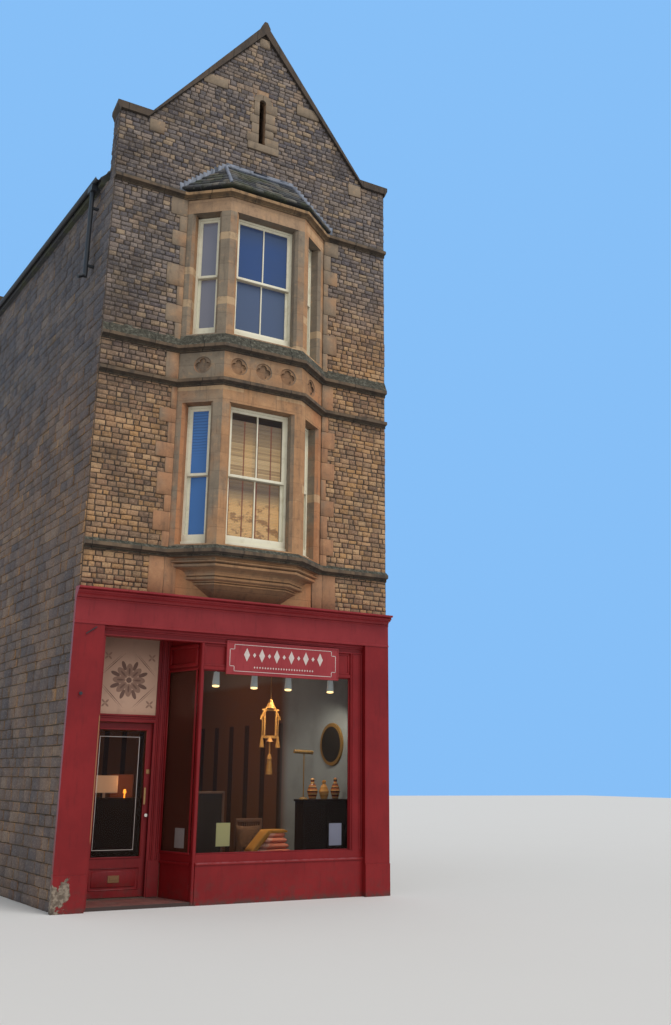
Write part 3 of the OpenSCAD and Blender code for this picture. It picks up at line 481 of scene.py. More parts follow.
def ashlar(name, own_blocks=False):
    """Limestone in drawn blocks, with the shades of the bay, or in blocks that are laid one by one."""
    stone = Finish(name, "ashlar")
    x, y, z = stone.axes()
    if own_blocks:
        block = stone.tone()
        joint = block * 0.0
        coats = [(0.35, 0x947E68)]
    else:
        row = z / bay_block_height
        along = x / bay_block_length + stone.chance(row.floor(), 3.0, 1.0) * 0.8
        block = stone.chance(row.floor(), along.floor(), 2.0)
        low_joint = row.off().rise(0.5 - 0.007 / bay_block_height, 0.5)
        joint = low_joint.most(along.off().rise(0.5 - 0.006 / bay_block_length, 0.5))
        lintel = (z > strings["c"][0].z - 0.30) * (z < strings["c"][0].z)
        # Sunk is how far a point lies behind the bay's faces; in the middle band it paints the roundels'
        # recesses darker, as painted shade.
        sunk = (y - bay_low.y).least(slant_sine * bay_high.x - abs(x) * slant_sine + y * slant_cosine)
        band = (z > strings["c"][1].z) * (z < strings["b"][0].z)
        coats = [((block > 0.86) * (row % 1.0 > 0.55) * 0.6, 0xD4B690),
                 ((z > bay_low.z) * 0.42 + lintel * 0.1, 0xD0A076),
                 # Deeper into the gable's slit the stone is painted near black: painted shade in its reveal.
                 (y.rise(0.03, 0.16) * (z > attic_level) * 0.85, 0x181412),
                 (sunk.rise(0.004, 0.016) * band * 0.35, 0x603E2A)]
    # Low down, the bay's canted sides and the blocks beyond them get a warm orange: a painted glow of
    # reflected sunlight.
    golden = stone.layers(stone.ramp(stone.noise(2.2, 5), 0x9E7250, 0xB48862, 0xC49A72),
                          (abs(x).rise(0.90, 1.15) * z.rise(8.6, 8.0) * 0.4, 0xBE744A))
    grey = stone.ramp(stone.noise(3.1, 5), 0x7A7064, 0x8E8272, 0xA0927E)
    # Rain greys the stone in patches and more with height. Faces turned to the left are greyer and darker
    # still, and those turned to the right less so, as painted shade and light.
    greyness_and_left_shade = (stone.noise(1.3, 4) + (z - 8.0) * 0.07 - stone.facing(0) * 0.4).rise(0.35, 0.75)
    grain = stone.noise(60, 4, rough=0.7)
    mottle = stone.noise(7, 6, rough=0.75)
    streaks = stone.noise(5, 4, stretch=(2.2, 2.2, 0.3)).rise(0.50, 0.8)
    top_soot = stone.facing(2).rise(0.3, 0.8) * stone.noise(12, 4).rise(0.2, 0.6)
    # Faces that turn down are painted dark brown, as painted shade under the corbel's mouldings and other
    # ledges.
    colour = stone.layers(
        golden, (greyness_and_left_shade, grey), *coats, ((block < 0.25) * 0.15, 0x5C5046),
        (mottle.rise(0.5, 0.75) * 0.5, 0x605246), (mottle.rise(0.48, 0.30) * 0.35, 0xD6AC80),
        (streaks * 0.5, 0x544A42), (grain.rise(0.5, 0.8) * 0.3, 0x584A3C),
        (stone.facing(2).rise(-0.15, -0.7) * 0.55, 0x3A2E26), (top_soot * 0.7, 0x403E34),
        (joint * 0.3, 0x5C4C3E))
    return stone.coat(colour, 0.88, grain * 0.6 - joint, 0.003)


dress(ashlar("bay_limestone"), "bay_corbel", "bay_lower_piers", "bay_middle_band", "bay_upper_piers",
      "bay_head", "slit_surround")
loose_limestone = ashlar("block_limestone", own_blocks=True)
sawn_block = block_pattern(0.004)
sawn_proud = 0.027
thin_joint = 0.004


def pile(chance, low, high, edge, side, reach, height):
    """Long and short blocks from an edge outwards, one over the other between two heights."""
    base = low
    turn = 0
    while base < high - 0.01:
        top = base + chance.uniform(*height)
        if top > high - height[0] * 0.6:
            top = high
        stretch = reach[turn % 2] + chance.uniform(-0.03, 0.03)
        left, right = sorted((edge, edge + side * stretch))
        yield left, right, base + thin_joint / 2, top - thin_joint / 2, sawn_proud, chance.random()
        base = top
        turn += 1


cutting = random.Random(11)
quoin_reach = (0.11, 0.27)
quoin_height = (0.24, 0.40)
apron_reach = 0.29
bay_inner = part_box("front_wall_right")[0].x
quoins = []
for side, edge in ((-1, bay_low.x), (1, bay_high.x)):
    for low, high in ((strings["d"][1].z, strings["c"][0].z), (strings["b"][1].z, strings["a"][0].z)):
        quoins += pile(cutting, low - 0.09, high, edge, side, quoin_reach, quoin_height)
    quoins += pile(cutting, strings["c"][1].z - 0.09, strings["b"][0].z, edge, side, (0.19, 0.19), (0.5, 0.5))
    for near, far in ((bay_inner, bay_inner + 0.19), (bay_inner + 0.19, abs(edge) + apron_reach)):
        left, right = sorted((side * near, side * far))
        quoins.append((left + thin_joint / 2, right - thin_joint / 2, shop_top - 0.01, strings["d"][0].z,
                       sawn_proud, cutting.random()))
lay("bay_quoins", quoins, street_face, loose_limestone, sawn_block, 12, rough=0.001)

# The slit in the gable has jambs of short blocks, a sill and a round arch of two curved stones. A
# larger bonding stone sits under each slope and at each foot of them, and a pale one at the top.
slit_corners = [corner for corner in corners_of("slit_surround") if abs(corner.x) < 0.12]
slit_half = max(corner.x for corner in slit_corners)
slit_foot = min(corner.z for corner in slit_corners)
slit_spring = max(corner.z for corner in slit_corners if corner.x > slit_half - 0.0005)
slit_blocks = []
for side, reach in ((-1, (0.20, 0.115)), (1, (0.25, 0.18))):
    slit_blocks += pile(cutting, slit_foot, slit_spring, side * slit_half, side, reach, (0.15, 0.22))
slit_blocks.append((-0.27, 0.34, slit_foot - 0.15, slit_foot - thin_joint, sawn_proud + 0.01, 0.4))
bonding_stones = ((0.70, 1.16, 13.88, 14.08, 0.55), (1.82, 2.08, shoulder - 0.24, shoulder, 0.35))
for side in (-1, 1):
    for near, far, low, high, tone in bonding_stones:
        left, right = sorted((side * near, side * far))
        slit_blocks.append((left, right, low, high, sawn_proud, tone))
slit_blocks.append((-0.10, 0.10, rake_top - 0.30, rake_top - 0.10, sawn_proud, 0.9))
lay("gable_dressings", slit_blocks, street_face, loose_limestone, sawn_block, 13, rough=0.003)

hood = bmesh.new()
hood_near, hood_far = slit_half, slit_half + 0.115
hood_front, hood_back = -0.026, 0.03
for side in (-1, 1):
    profile = ((hood_near, hood_back), (hood_near, hood_front), (hood_far, hood_front), (hood_far, hood_back))
    end = hood.faces.new([hood.verts.new((side * x, y, slit_spring)) for x, y in profile])
    bmesh.ops.spin(hood, geom=[end, *end.verts, *end.edges], cent=(0, 0, slit_spring), axis=(0, -side, 0),
                   angle=math.radians(88), steps=12)
bmesh.ops.recalc_face_normals(hood, faces=hood.faces[:])
keep("slit_hood", hood, loose_limestone)


# String courses and copings catch the rain: their faces are dark, and moss grows on what faces up.
# They are cut in lengths that meet in open joints, and what faces down is painted darker as shade.
def weathered(name, length, bay_colour=None, soot=0.0):
    """Stone in lengths, darker with soot, and with a colour of its own where it runs round the bay."""
    stone = Finish(name)
    x, y = stone.axes()[:2]
    piece = x / length + 0.37
    joint = piece.off().rise(0.5 - 0.007 / length, 0.5)
    coats = [(stone.chance(piece.floor(), 1.0, 1.0) * 0.35, 0x54504C)]
    if bay_colour:
        coats.append(((abs(x) < bay_high.x + 0.08) * (y < -0.03) * 0.8, bay_colour))
    moss = stone.ramp((stone.noise(17, 6, rough=0.85) - 0.5) * 1.7 + 0.5, 0x10100E, 0x22221C,
                      0x424238, 0x7A7A70, 0xBAB8AC)
    mossy = stone.facing(2).rise(0.05, 0.5) * stone.noise(6, 4).rise(0.15, 0.40)
    drip = stone.noise(7, 4, stretch=(1, 1, 0.4)).rise(0.42, 0.68) * 0.65
    # Faces that turn down are painted near black: painted shade under the strings and copings.
    colour = stone.layers(
        stone.ramp(stone.noise(4, 5), 0x483E36, 0x705E4C, 0x8E7860), *coats, (soot, 0x3E3836),
        (drip, 0x34302E), (mossy, moss), (stone.facing(2).rise(-0.1, -0.6) * 0.6, 0x221E1C),
        (joint * 0.8, 0x24201C))
    return stone.coat(colour, 0.94, stone.noise(50, 4, rough=0.7) + stone.noise(9, 3) - joint * 2.0, 0.006)


dress(weathered("top_string_stone", 0.74, 0xB08E68), "string_a")
dress(weathered("string_stone", 0.74), "string_b", "string_c", "string_d")
dress(weathered("coping_stone", 0.46, soot=0.55), "gable_coping", "rear_coping")


# The bay's roof and the main roof are covered with stone slates, laid in courses that lap each other.
# Moss has settled on them, the bay's hips are rolled, and lead is stepped into the wall over it.
slate = Finish("stone_slates", "slate")
slate_body = slate.kinds(slate.tone(), 0x3C3C3E, 0x626262, 0x4C4C50, 0x76726C, 0x56585C,
                         0x6C6660)
slate_moss = slate.ramp(slate.noise(30, 4), 0x282C20, 0x5C6042)
slate_colour = slate.layers(slate_body, (slate.noise(2.6, 5).rise(0.46, 0.62) * 0.7, slate_moss),
                            (slate.noise(16, 4).rise(0.62, 0.72) * 0.5, 0x9E9E92))
slate.coat(slate_colour, 0.9, slate.noise(40, 4) + slate.noise(8, 3), 0.005)
dress(slate, "bay_roof", "roof_left", "roof_right")
slate_block = block_pattern(0.004)


def slate_slope(name, corners, seed, course, length, proud):
    """Slates on a flat slope, given by its lower left, lower right, upper left and upper right corners."""
    low_left, low_right, high_left, high_right = corners
    along = (low_right - low_left).normalized()
    out = along.cross(high_left - low_left).normalized()
    upward = out.cross(along)
    climb = (high_left - low_left).dot(upward)
    lean_left = (high_left - low_left).dot(along) / climb
    lean_right = (high_right - low_right).dot(along) / climb
    width = (low_right - low_left).length
    rows = courses(random.Random(seed), 0, climb, lambda v: lean_left * v, lambda v: width + lean_right * v,
                   course, length, 0.006, proud)
    lapped = [(a, b, max(c - 0.02, -0.015), d, e, f) for a, b, c, d, e, f in rows if b - a > 0.03]
    lay(name, lapped, (low_left, along, upward), slate, slate_block, seed, rough=0.003, slant=0.75)


bay_roof_low, bay_roof_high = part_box("bay_roof")
roof_corners = corners_of("bay_roof")
eave_z, roof_peak = bay_roof_low.z + 0.025, bay_roof_high.z
front_eave_x = max(corner.x for corner in roof_corners if corner.y < bay_roof_low.y + 0.001)
roof_top_x = max(corner.x for corner in roof_corners if corner.z > roof_peak - 0.001)
eave_left, eave_right = (Vector((side * front_eave_x, bay_roof_low.y, eave_z)) for side in (-1, 1))
wall_left, wall_right = (Vector((x, 0, eave_z)) for x in (bay_roof_low.x, bay_roof_high.x))
top_left, top_right = (Vector((side * roof_top_x, 0, roof_peak)) for side in (-1, 1))
bay_slopes = {
    "bay_slates_front": (eave_left, eave_right, top_left, top_right),
    "bay_slates_left": (wall_left, eave_left, top_left, top_left),
    "bay_slates_right": (eave_right, wall_right, top_right, top_right),
}
for number, (name, corners) in enumerate(bay_slopes.items()):
    slate_slope(name, corners, 20 + number, (0.10, 0.14), (0.12, 0.24), (0.016, 0.026))

lead = Finish("sheet_lead", "iron")
lead_streak = lead.noise(14, 4, stretch=(1, 1, 0.2)).rise(0.5, 0.7)
lead_colour = lead.layers(lead.ramp(lead.noise(6, 4), 0x5C6270, 0x808898, 0xA4ACBA),
                          (lead_streak * 0.6, 0x42444A))
lead.coat(lead_colour, 0.6, lead.noise(9, 3), 0.004)
hips = bmesh.new()
hip_radius = 0.032
for low_end, high_end in ((eave_left, top_left), (eave_right, top_right)):
    rod(hips, low_end + Vector((0, 0.02, 0.02)), high_end + Vector((0, -0.02, 0.0)), hip_radius)
rod(hips, top_left + Vector((0, -0.03, 0.01)), top_right + Vector((0, -0.03, 0.01)), hip_radius * 0.8)
keep("bay_hip_rolls", hips, lead)

flashing = []
flashing_steps = 12
tooth = 0.10
for side in (-1, 1):
    for count in range(flashing_steps):
        share = (count + 0.5) / flashing_steps
        x = side * (roof_top_x + (bay_roof_high.x - roof_top_x) * share)
        z = roof_peak + (eave_z - roof_peak) * share
        left, right = sorted((x - side * tooth / 2, x + side * tooth * 0.45))
        flashing.append((left, right, z - tooth, z + tooth * 0.75, 0.026))
sheet = 2 * roof_top_x / 5
flashing += [(x * sheet - roof_top_x + 0.004, (x + 1) * sheet - roof_top_x - 0.004,
              roof_peak - 0.05, roof_peak + 0.085, 0.026) for x in range(5)]
lay("lead_flashing", flashing, street_face, lead, block_pattern(0.002), 40, rough=0.004)

roof_low, roof_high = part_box("roof_left")
gutter_low, gutter_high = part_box("gutters")
ridge_front, ridge_rear = (Vector((y * skew, y, roof_high.z)) for y in (roof_low.y, roof_high.y))
eaves_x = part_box("roof_right")[1].x - roof_low.y * skew
eaves_drop = gutter_high.z + 0.005 - roof_high.z
left_shift, right_shift = (Vector((side * eaves_x, 0, eaves_drop)) for side in (-1, 1))
roof_slopes = {
    "roof_slates_left": (ridge_rear + left_shift, ridge_front + left_shift, ridge_rear, ridge_front),
    "roof_slates_right": (ridge_front + right_shift, ridge_rear + right_shift, ridge_front, ridge_rear),
}
for number, (name, corners) in enumerate(roof_slopes.items()):
    slate_slope(name, corners, 30 + number, (0.17, 0.22), (0.16, 0.34), (0.020, 0.032))

ridge = Finish("ridge_tiles")
ridge_joint = ridge.axes()[1].off(0.45).rise(0.47, 0.5)
ridge_colour = ridge.ramp(ridge.noise(5, 4), 0x3A322C, 0x5C5044)
ridge.coat(ridge.layers(ridge_colour, (ridge_joint * 0.7, 0x221E1C)), 0.9,
           ridge.noise(30) - ridge_joint * 2.0, 0.004)
dress(ridge, "roof_ridge")

# Gutters, hopper and pipe are cast iron, painted black long ago. Rust shows through the paint in
# small spots, which are duller than the paint round them.
iron = Finish("old_black_paint", "iron")
iron_rust = iron.noise(12, 5).rise(0.62, 0.75)
iron.coat(iron.layers(0x26282C, (iron_rust * 0.6, 0x5C3A26)), iron_rust * 0.3 + 0.5, iron.noise(60), 0.001)
dress(iron, "gutters", "downpipe")

# The party walls are plain rubble in larger blocks than the front's. The rear wall repeats the
# front's stone round its windows, which have long and short jambs, a lintel and a sill each.
coarse_stones = {"course": (0.13, 0.19), "length": (0.22, 0.46), "joint": 0.016, "proud": (0.004, 0.020)}
side_masonry = random.Random(21)
rear_shift = Vector((skew * house_rear, house_rear, 0))
backwards = rear_shift.normalized()
left_face = (Vector((house_left, 0, 0)) + rear_shift, -backwards, level)
right_face = (Vector((house_right, 0, 0)), backwards, level)
for name, face, seed in (("left_wall_stones", left_face, 22), ("right_wall_stones", right_face, 23)):
    blocks = wall_of(side_masonry, 0, rear_shift.length, 0, gutter_low.z - 0.01, coarse_stones)
    lay(name, blocks, face, rubble, hewn_block, seed, rough=0.006)

gable_depth = gable_high.y
return_blocks = wall_of(side_masonry, 0, gable_depth, attic_level, shoulder, small_stones)
returns = {
    "gable_return_left": (Vector((house_left, gable_depth, 0)), -north, level),
    "gable_return_right": (Vector((house_right, 0, 0)), north, level),
    "rear_return_left": (Vector((rear_low.x, house_rear, 0)), -north, level),
    "rear_return_right": (Vector((rear_high.x, house_rear - gable_depth, 0)), north, level),
}
for number, (name, face) in enumerate(returns.items()):
    lay(name, return_blocks, face, rubble, hewn_block, 24 + number, rough=0.005)

rear_middle = (rear_low.x + rear_high.x) / 2
rear_face = (Vector((rear_middle, house_rear, 0)), -east, level)
rear_half = max(abs(corner.x - rear_middle) for corner in corners_of("rear_sashes"))
window_levels = sorted({round(corner.z, 3) for corner in corners_of("rear_wall_middle")})
rear_stones = {"course": (0.085, 0.12), "length": (0.14, 0.32), "joint": 0.014, "proud": (0.004, 0.018)}
rear_blocks = wall_of(side_masonry, house_left, -rear_half, 0, attic_level, rear_stones)
rear_blocks += wall_of(side_masonry, rear_half, house_right, 0, attic_level, rear_stones)
for low, high in zip(window_levels[0::2], window_levels[1::2]):
    rear_blocks += wall_of(side_masonry, -rear_half, rear_half, low, high, rear_stones)
rear_blocks += gable_courses(side_masonry, attic_level, rake_top - 0.12, rear_stones)
lay("rear_stones", rear_blocks, rear_face, rubble, hewn_block, 30, rough=0.005)
surrounds = []
for sill, head in zip(window_levels[1::2], window_levels[2::2]):
    for side in (-1, 1):
        surrounds += pile(cutting, sill, head, side * rear_half, side, quoin_reach, quoin_height)
    reach = rear_half + 0.25
    surrounds.append((-reach, reach, head + thin_joint, head + 0.26, sawn_proud + 0.004))
    surrounds.append((-reach, reach, sill - 0.16, sill - thin_joint, sawn_proud + 0.05, 0.3))
lay("rear_window_stones", surrounds, rear_face, loose_limestone, sawn_block, 31, rough=0.001)


# The sash windows are softwood, painted cream. Each is a box frame with two sashes, and the wide ones
# have one upright bar in each sash. Their glass is old and mirrors the sky, and its colours are
# painted reflections of sky and clouds.
cream = Finish("cream_gloss", "cream_paint")
# Faces of the joinery that turn down are painted a darker brown: painted shade.
cream_colour = cream.layers(0xF0ECD6, (cream.noise(6, 5).rise(0.5, 0.78) * 0.4, 0xB0A080),
                            (cream.facing(2).rise(-0.3, -0.8) * 0.6, 0x786048))
cream.coat(cream_colour, 0.45, cream.noise(40, 3, stretch=(1, 1, 0.2)), 0.0008)
dress(cream, "rear_sashes", "lower_sashes", "upper_sashes")


def sheet_of_glass(name, front, cant_reflection, patchy_reflection, clear_front, clear_cant, mirror=0.5, ripple=0.0,
                   greyed_up_to=0.0):
    """Glass that shows the room behind by a share and mirrors the sky at a slant. Its colours are painted
    reflections, in large patches of two colours; the left canted panes have a colour and clearness of
    their own, and some a painted rippled reflection in their upper half. The foot and the head of a front
    pane are greyed."""
    glass = Finish(name)
    z = glass.axes()[2]
    canted = glass.facing(0).rise(-0.2, -0.5)
    coats = [(canted, cant_reflection), (glass.noise(0.9, 2).rise(0.35, 0.75) * (0.5 - canted * 0.3), patchy_reflection)]
    if greyed_up_to:
        greyed = (z < greyed_up_to) * 0.75 + z.rise(greyed_up_to + 0.65, greyed_up_to + 1.15) * 0.55
        coats.append((greyed * (1.0 - canted), 0x5C6882))
    if ripple:
        rippled_reflection = (z + glass.noise(3, 2) * 0.05).off(0.05).rise(0.25, 0.45)
        coats.append((rippled_reflection * canted * z.rise(ripple - 0.1, ripple + 0.3) * 0.45, 0x223054))
    glass.coat(glass.layers(front, *coats), 0.04, glass.noise(2.2, 2), 0.004, mirror=mirror)
    sight = glass.node("ShaderNodeBsdfTransparent")
    angle = glass.node("ShaderNodeLayerWeight", values={"Blend": 0.4}, out="Fresnel")
    solid = (1.0 - clear_front) + canted * (clear_front - clear_cant)
    body = Level(glass, glass.shader.outputs["BSDF"])
    surface = glass.node("ShaderNodeMixShader", values=((angle * 0.7 + solid).least(1.0), sight, body))
    glass.feed(glass.tree.nodes["Material Output"].inputs["Surface"], surface)
    return glass


blind_low, blind_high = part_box("lower_glass")
blind_middle = (blind_low.z + blind_high.z) / 2
upper_middle = sum(corner.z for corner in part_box("upper_glass")) / 2
# Each glass's colours are painted reflections: sky and clouds on the sashes, and dark browns with a red side
# pane on the shop.
dress(sheet_of_glass("upper_glass", 0x365088, 0x8A8A98, 0x425270, 0.10, 0.05, greyed_up_to=upper_middle),
      "upper_glass")
dress(sheet_of_glass("rear_glass", 0x365088, 0x365088, 0x425270, 0.3, 0.3), "rear_glass")
dress(sheet_of_glass("lower_glass", 0x282C3E, 0x467AC4, 0x3A5C8E, 0.92, 0.05,
                     ripple=blind_middle + 0.3), "lower_glass")
dress(sheet_of_glass("shop_glass", 0x1E1A18, 0x60382E, 0x1A1616, 0.90, 0.78, 0.35),
      "shop_glass", "door_glass")

bars = bmesh.new()
bar_half = 0.011
sash_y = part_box("lower_sashes")[0].y
for name in ("lower_sashes", "upper_sashes"):
    low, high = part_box(name)
    middle = (low.z + high.z) / 2
    stick(bars, (-bar_half, sash_y + 0.010, middle + 0.02), (bar_half, sash_y + 0.052, high.z - 0.08))
    stick(bars, (-bar_half, sash_y + 0.048, low.z + 0.08), (bar_half, sash_y + 0.090, middle - 0.02))
keep("sash_bars", bars, cream)

reveal = sash_y - bay_low.y
slant = bay_slant.normalized()
slant_out = slant.cross(level)
other_slant = Vector((slant.x, -slant.y, 0))
right_start = Vector((bay_corner_x, bay_low.y, 0)) - slant_out * reveal
left_start = Vector((-bay_high.x, 0, 0)) - other_slant.cross(level) * reveal
front_reach = max(corner.x for corner in corners_of("lower_sashes") if corner.y < sash_y + 0.001)
near_jamb, far_jamb = 0.147, 0.579
timber = block_pattern(0.005, 2)
sash_faces = {
    "front": (facing_street(sash_y), -front_reach, front_reach),
    "left": ((left_start, other_slant, level), near_jamb, far_jamb),
    "right": ((right_start, slant, level), bay_slant.length - far_jamb, bay_slant.length - near_jamb),
}
for number, (name, (face, left, right)) in enumerate(sash_faces.items()):
    rails = []
    for node in ("lower_sashes", "upper_sashes"):
        foot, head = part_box(node)[0].z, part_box(node)[1].z
        middle = (foot + head) / 2
        rails.append((left + 0.002, right - 0.002, foot + 0.001, foot + 0.075, 0.052))
        rails.append((left + 0.035, right - 0.035, foot + 0.077, foot + 0.19, 0.010))
        rails.append((left + 0.045, right - 0.045, middle - 0.020, middle + 0.026, 0.014))
    lay("sash_sills_" + name, rails, face, cream, timber, 60 + number, sink=0.05)

# The cane blind behind the lower sashes carries painted light: a warm glow low down with dark painted
# reflections in it, a lit strip, and painted shade at its head and under the meeting rail. It glows though it
# is no lamp. Its canes and tapes keep their own colours.
blind = Finish("split_cane_blind", "cream_paint")
x, y, z = blind.axes()
canes = blind.kinds(blind.tone(), 0xBA9E76, 0xCEB286, 0xAA8E68, 0xC4A67A)
glow = z.rise(blind_middle - 0.25, blind_middle - 0.45)
reflection_patch = blind.noise(5.5, 4, stretch=(1, 1, 1.5), rough=0.7).rise(0.50, 0.60)
lit_strip = abs(x + 0.10).rise(0.11, 0.06) * z.rise(blind_middle - 0.05, blind_middle + 0.05)
shaded_head = z.rise(blind_high.z - 0.65, blind_high.z - 0.15)
rail_shadow = z.rise(blind_middle - 0.35, blind_middle - 0.15) * (z < blind_middle)
tape = ((x + 0.41) / 0.24 + 0.5).off().rise(0.06, 0.04)
blind_colour = blind.layers(
    canes, (glow * 0.7, 0xECBE80), (reflection_patch * glow * 0.65, 0x80583C), (lit_strip * 0.4, 0xF0C484),
    (shaded_head.most(rail_shadow) * 0.75, 0x685C52), (tape * 0.8, 0x804230))
blind.coat(blind_colour, 0.7, blind.noise(80, 3, stretch=(0.2, 1, 1)), 0.001, lit=blind_colour, light=0.67)
blind_half = 0.49
slat_pitch = 0.026
slat_chance = random.Random(5)
slats = []
for count in range(int((blind_high.z - blind_low.z - 0.08) / slat_pitch)):
    low = blind_low.z + 0.04 + count * slat_pitch
    slats.append((-blind_half, blind_half, low, low + slat_pitch * 0.86, 0.006, slat_chance.random()))
lay("cane_blind", slats, facing_street(sash_y + 0.16), blind, block_pattern(0.001), 6, rough=0.0008,
    sink=0.001)


# Floors: boards over joists upstairs with plastered ceilings below, old tiles in the shop and worn red
# ones in the lobby.
boards = Finish("boards_and_ceilings")
board_colour = boards.layers(
    boards.ramp(boards.noise(3, 4, stretch=(6, 0.4, 1)), 0x5C4630, 0x8C7050),
    (boards.axes()[0].off(0.15).rise(0.48, 0.5), 0x281E16), (boards.facing(2) < 0.5, 0xB0A696))
boards.coat(board_colour, 0.7, boards.noise(20), 0.001)
dress(boards, "first_floor", "second_floor", "attic_floor")


def tiled(name, side, dark, light, joint_colour, roughness):
    """A floor of square tiles, each of its own shade."""
    tiles = Finish(name)
    x, y = tiles.axes()[:2]
    cell = tiles.chance((x / side).floor(), (y / side).floor(), 1.0)
    joint = x.off(side).most(y.off(side)).rise(0.5 - 0.004 / side, 0.5)
    colour = tiles.layers(tiles.ramp(cell, dark, light), (tiles.noise(4, 4).rise(0.4, 0.7) * 0.6, 0x68544C),
                          (joint, joint_colour))
    return tiles.coat(colour, roughness, joint * -1.0, 0.002)


dress(tiled("shop_floor_tiles", 0.3, 0x463A30, 0x605246, 0x2C2622, 0.5), "ground_floor")
dress(tiled("lobby_tiles", 0.15, 0x683A34, 0x804E46, 0x42322E, 0.75), "lobby_floor")


# The shopfront is joinery in deep red paint: pilasters, a fascia and moulded cornice, reeded posts, a
# stallriser, and a slanting side window beside the recessed door. It is worn at the foot and chipped.
def red_coat(name, deep, light, gloss, worn=1.0, reeded=0.0):
    """Red paint that is splashed at the foot, chipped, and flaking at the left corner. Painted shade darkens
    it deeper into the lobby and in its reeds.
    """
    paint = Finish(name, "red_paint")
    x, y, z = paint.axes()
    grain = paint.noise(26, 4, stretch=(1, 1, 0.12))
    groove_shade = abs(paint.facing(0)).rise(0.3, 0.85) * (y > 0.60) * reeded
    bare_edge = (abs(x + 2.166) < 0.012) * (y < 0.014) * z.rise(0.85, 0.95) * z.rise(2.64, 2.58)
    splash = z.rise(0.62, 0.0) * paint.noise(9, 5).rise(0.45, 0.72)
    ledge = paint.facing(2).rise(0.4, 0.9) * paint.noise(12, 5).rise(0.35, 0.6) * z.rise(1.2, 0.8)
    chips = paint.noise(34, 5, rough=0.8).rise(0.70, 0.74) * paint.noise(1.6, 2).rise(0.45, 0.7) * worn
    corner = (x * -1.0).rise(2.32, 2.50) * z.rise(0.66, 0.30)
    flake = paint.noise(6.5, 5, rough=0.65) + corner * 0.34
    peeled = flake.rise(0.72, 0.75) * corner.rise(0.02, 0.2)
    under_paint = paint.layers(0x968A7C, (paint.noise(20, 4).rise(0.4, 0.6), 0x685C52))
    dirt = z.rise(0.10, 0.0) * paint.noise(14, 5).rise(0.3, 0.6)
    # Deeper into the lobby the red is painted darker, and the sides of the reeds darker still: painted shade.
    colour = paint.layers(
        deep, (paint.noise(1.4, 4).rise(0.3, 0.7), light), (grain.rise(0.5, 0.8) * 0.3, 0x460C0E),
        (y.rise(0.10, 0.45) * 0.1, 0x540A0C), (groove_shade * 0.4, 0x2E080A), (bare_edge * 0.8, 0xB0865C),
        (splash * 0.5, 0x563834), (ledge * 0.55, 0xA0646A), (chips * 0.8, 0xBA9C92),
        (peeled, under_paint), (dirt * 0.8, 0x463E38))
    rough = peeled.most(chips) * 0.4 + gloss + splash * 0.2
    return paint.coat(colour, rough, grain * 0.4 - peeled * 2.0, 0.0015, mirror=0.3)


red_paint = red_coat("red_shop_paint", 0x7A1418, 0x8A1C1F, 0.42)
# A paler copy of the red paint, for the fascia, the cornice and the head rail's mouldings.
paler_red = red_coat("paler_red_paint", 0x842026, 0x942C31, 0.5)
dress(red_paint, "pilasters", "head_rail", "window_posts", "window_rails", "stallriser", "side_frame",
      "side_stallriser", "lobby_lining", "lobby_ceiling", "door_head", "shop_door")
dress(red_coat("reeded_red_paint", 0x7A1418, 0x8A1C1F, 0.42, reeded=1.0), "door_posts")
dress(paler_red, "fascia", "shop_cornice")
bead = block_pattern(0.004, 2)


def rim(left, right, low, high, width, proud):
    """Four blocks that frame a rectangle from inside."""
    return [(left, right, high - width, high, proud), (left, right, low, low + width, proud),
            (left, left + width, low + width, high - width, proud),
            (right - width, right, low + width, high - width, proud)]


def bands(name, node, finish, base, rows):
    """Mouldings that run along a node's front. A row gives a lower and an upper edge and how proud it is."""
    low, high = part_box(node)
    lay(name, [(low.x + 0.002, high.x - 0.002, base + foot, base + head, proud)
               for foot, head, proud in rows], facing_street(low.y), finish, bead)


side_corners = corners_of("side_frame")
side_front = min(side_corners, key=lambda corner: corner.y)
side_rear = min(side_corners, key=lambda corner: corner.x)
side_run = Vector((side_front.x - side_rear.x, side_front.y - side_rear.y, 0))
side_face = (Vector((side_rear.x, side_rear.y, 0)), side_run.normalized(), level)
rail_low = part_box("head_rail")[0]
transom_top = rail_low.z
glass_low, glass_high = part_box("shop_glass")
panel_low = glass_high.z + 0.05
side_mouldings = rim(0.01, side_run.length - 0.01, panel_low, transom_top - 0.005, 0.055, 0.016)
side_mouldings += rim(0.004, side_run.length - 0.004, glass_low.z - 0.01, glass_high.z + 0.02, 0.03, 0.012)
lay("side_window_mouldings", side_mouldings, side_face, red_paint, bead)

rails_low, rails_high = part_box("window_rails")
window_left, window_right = rails_low.x, glass_high.x
lay("transom_mouldings", rim(window_left, window_right, panel_low, transom_top, 0.035, 0.012),
    facing_street(rails_high.y / 3), red_paint, bead)
lay("glazing_beads", rim(window_left, window_right, glass_low.z, glass_high.z, 0.018, 0.016),
    facing_street(rails_high.y / 2), red_paint, bead)
bands("head_rail_mouldings", "head_rail", paler_red, 0,
      ((3.862, 3.899, 0.036), (3.840, 3.860, 0.024), (3.762, 3.784, 0.014)))
bands("door_head_mouldings", "door_head", red_paint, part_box("door_head")[0].z,
      ((0.092, 0.119, 0.026), (0.062, 0.080, 0.014), (0.004, 0.026, 0.010)))

# The sign board hangs in front of the panels over the window. It has a raised rim and a thin white
# line that steps in at the corners, with a row of lozenges over a row of dots inside.
sign_red = red_coat("sign_paint", 0x963036, 0xA43C40, 0.35, worn=0.0)
dress(sign_red, "sign_board")
sign_low, sign_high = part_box("sign_board")
sign_face = facing_street(sign_low.y)
lay("sign_rim", rim(sign_low.x, sign_high.x, sign_low.z, sign_high.z, 0.022, 0.010), sign_face, sign_red,
    bead)
white_line = mottled("white_line_paint", "cream_paint", 0xE0D6D0, 0xC4B4B0)


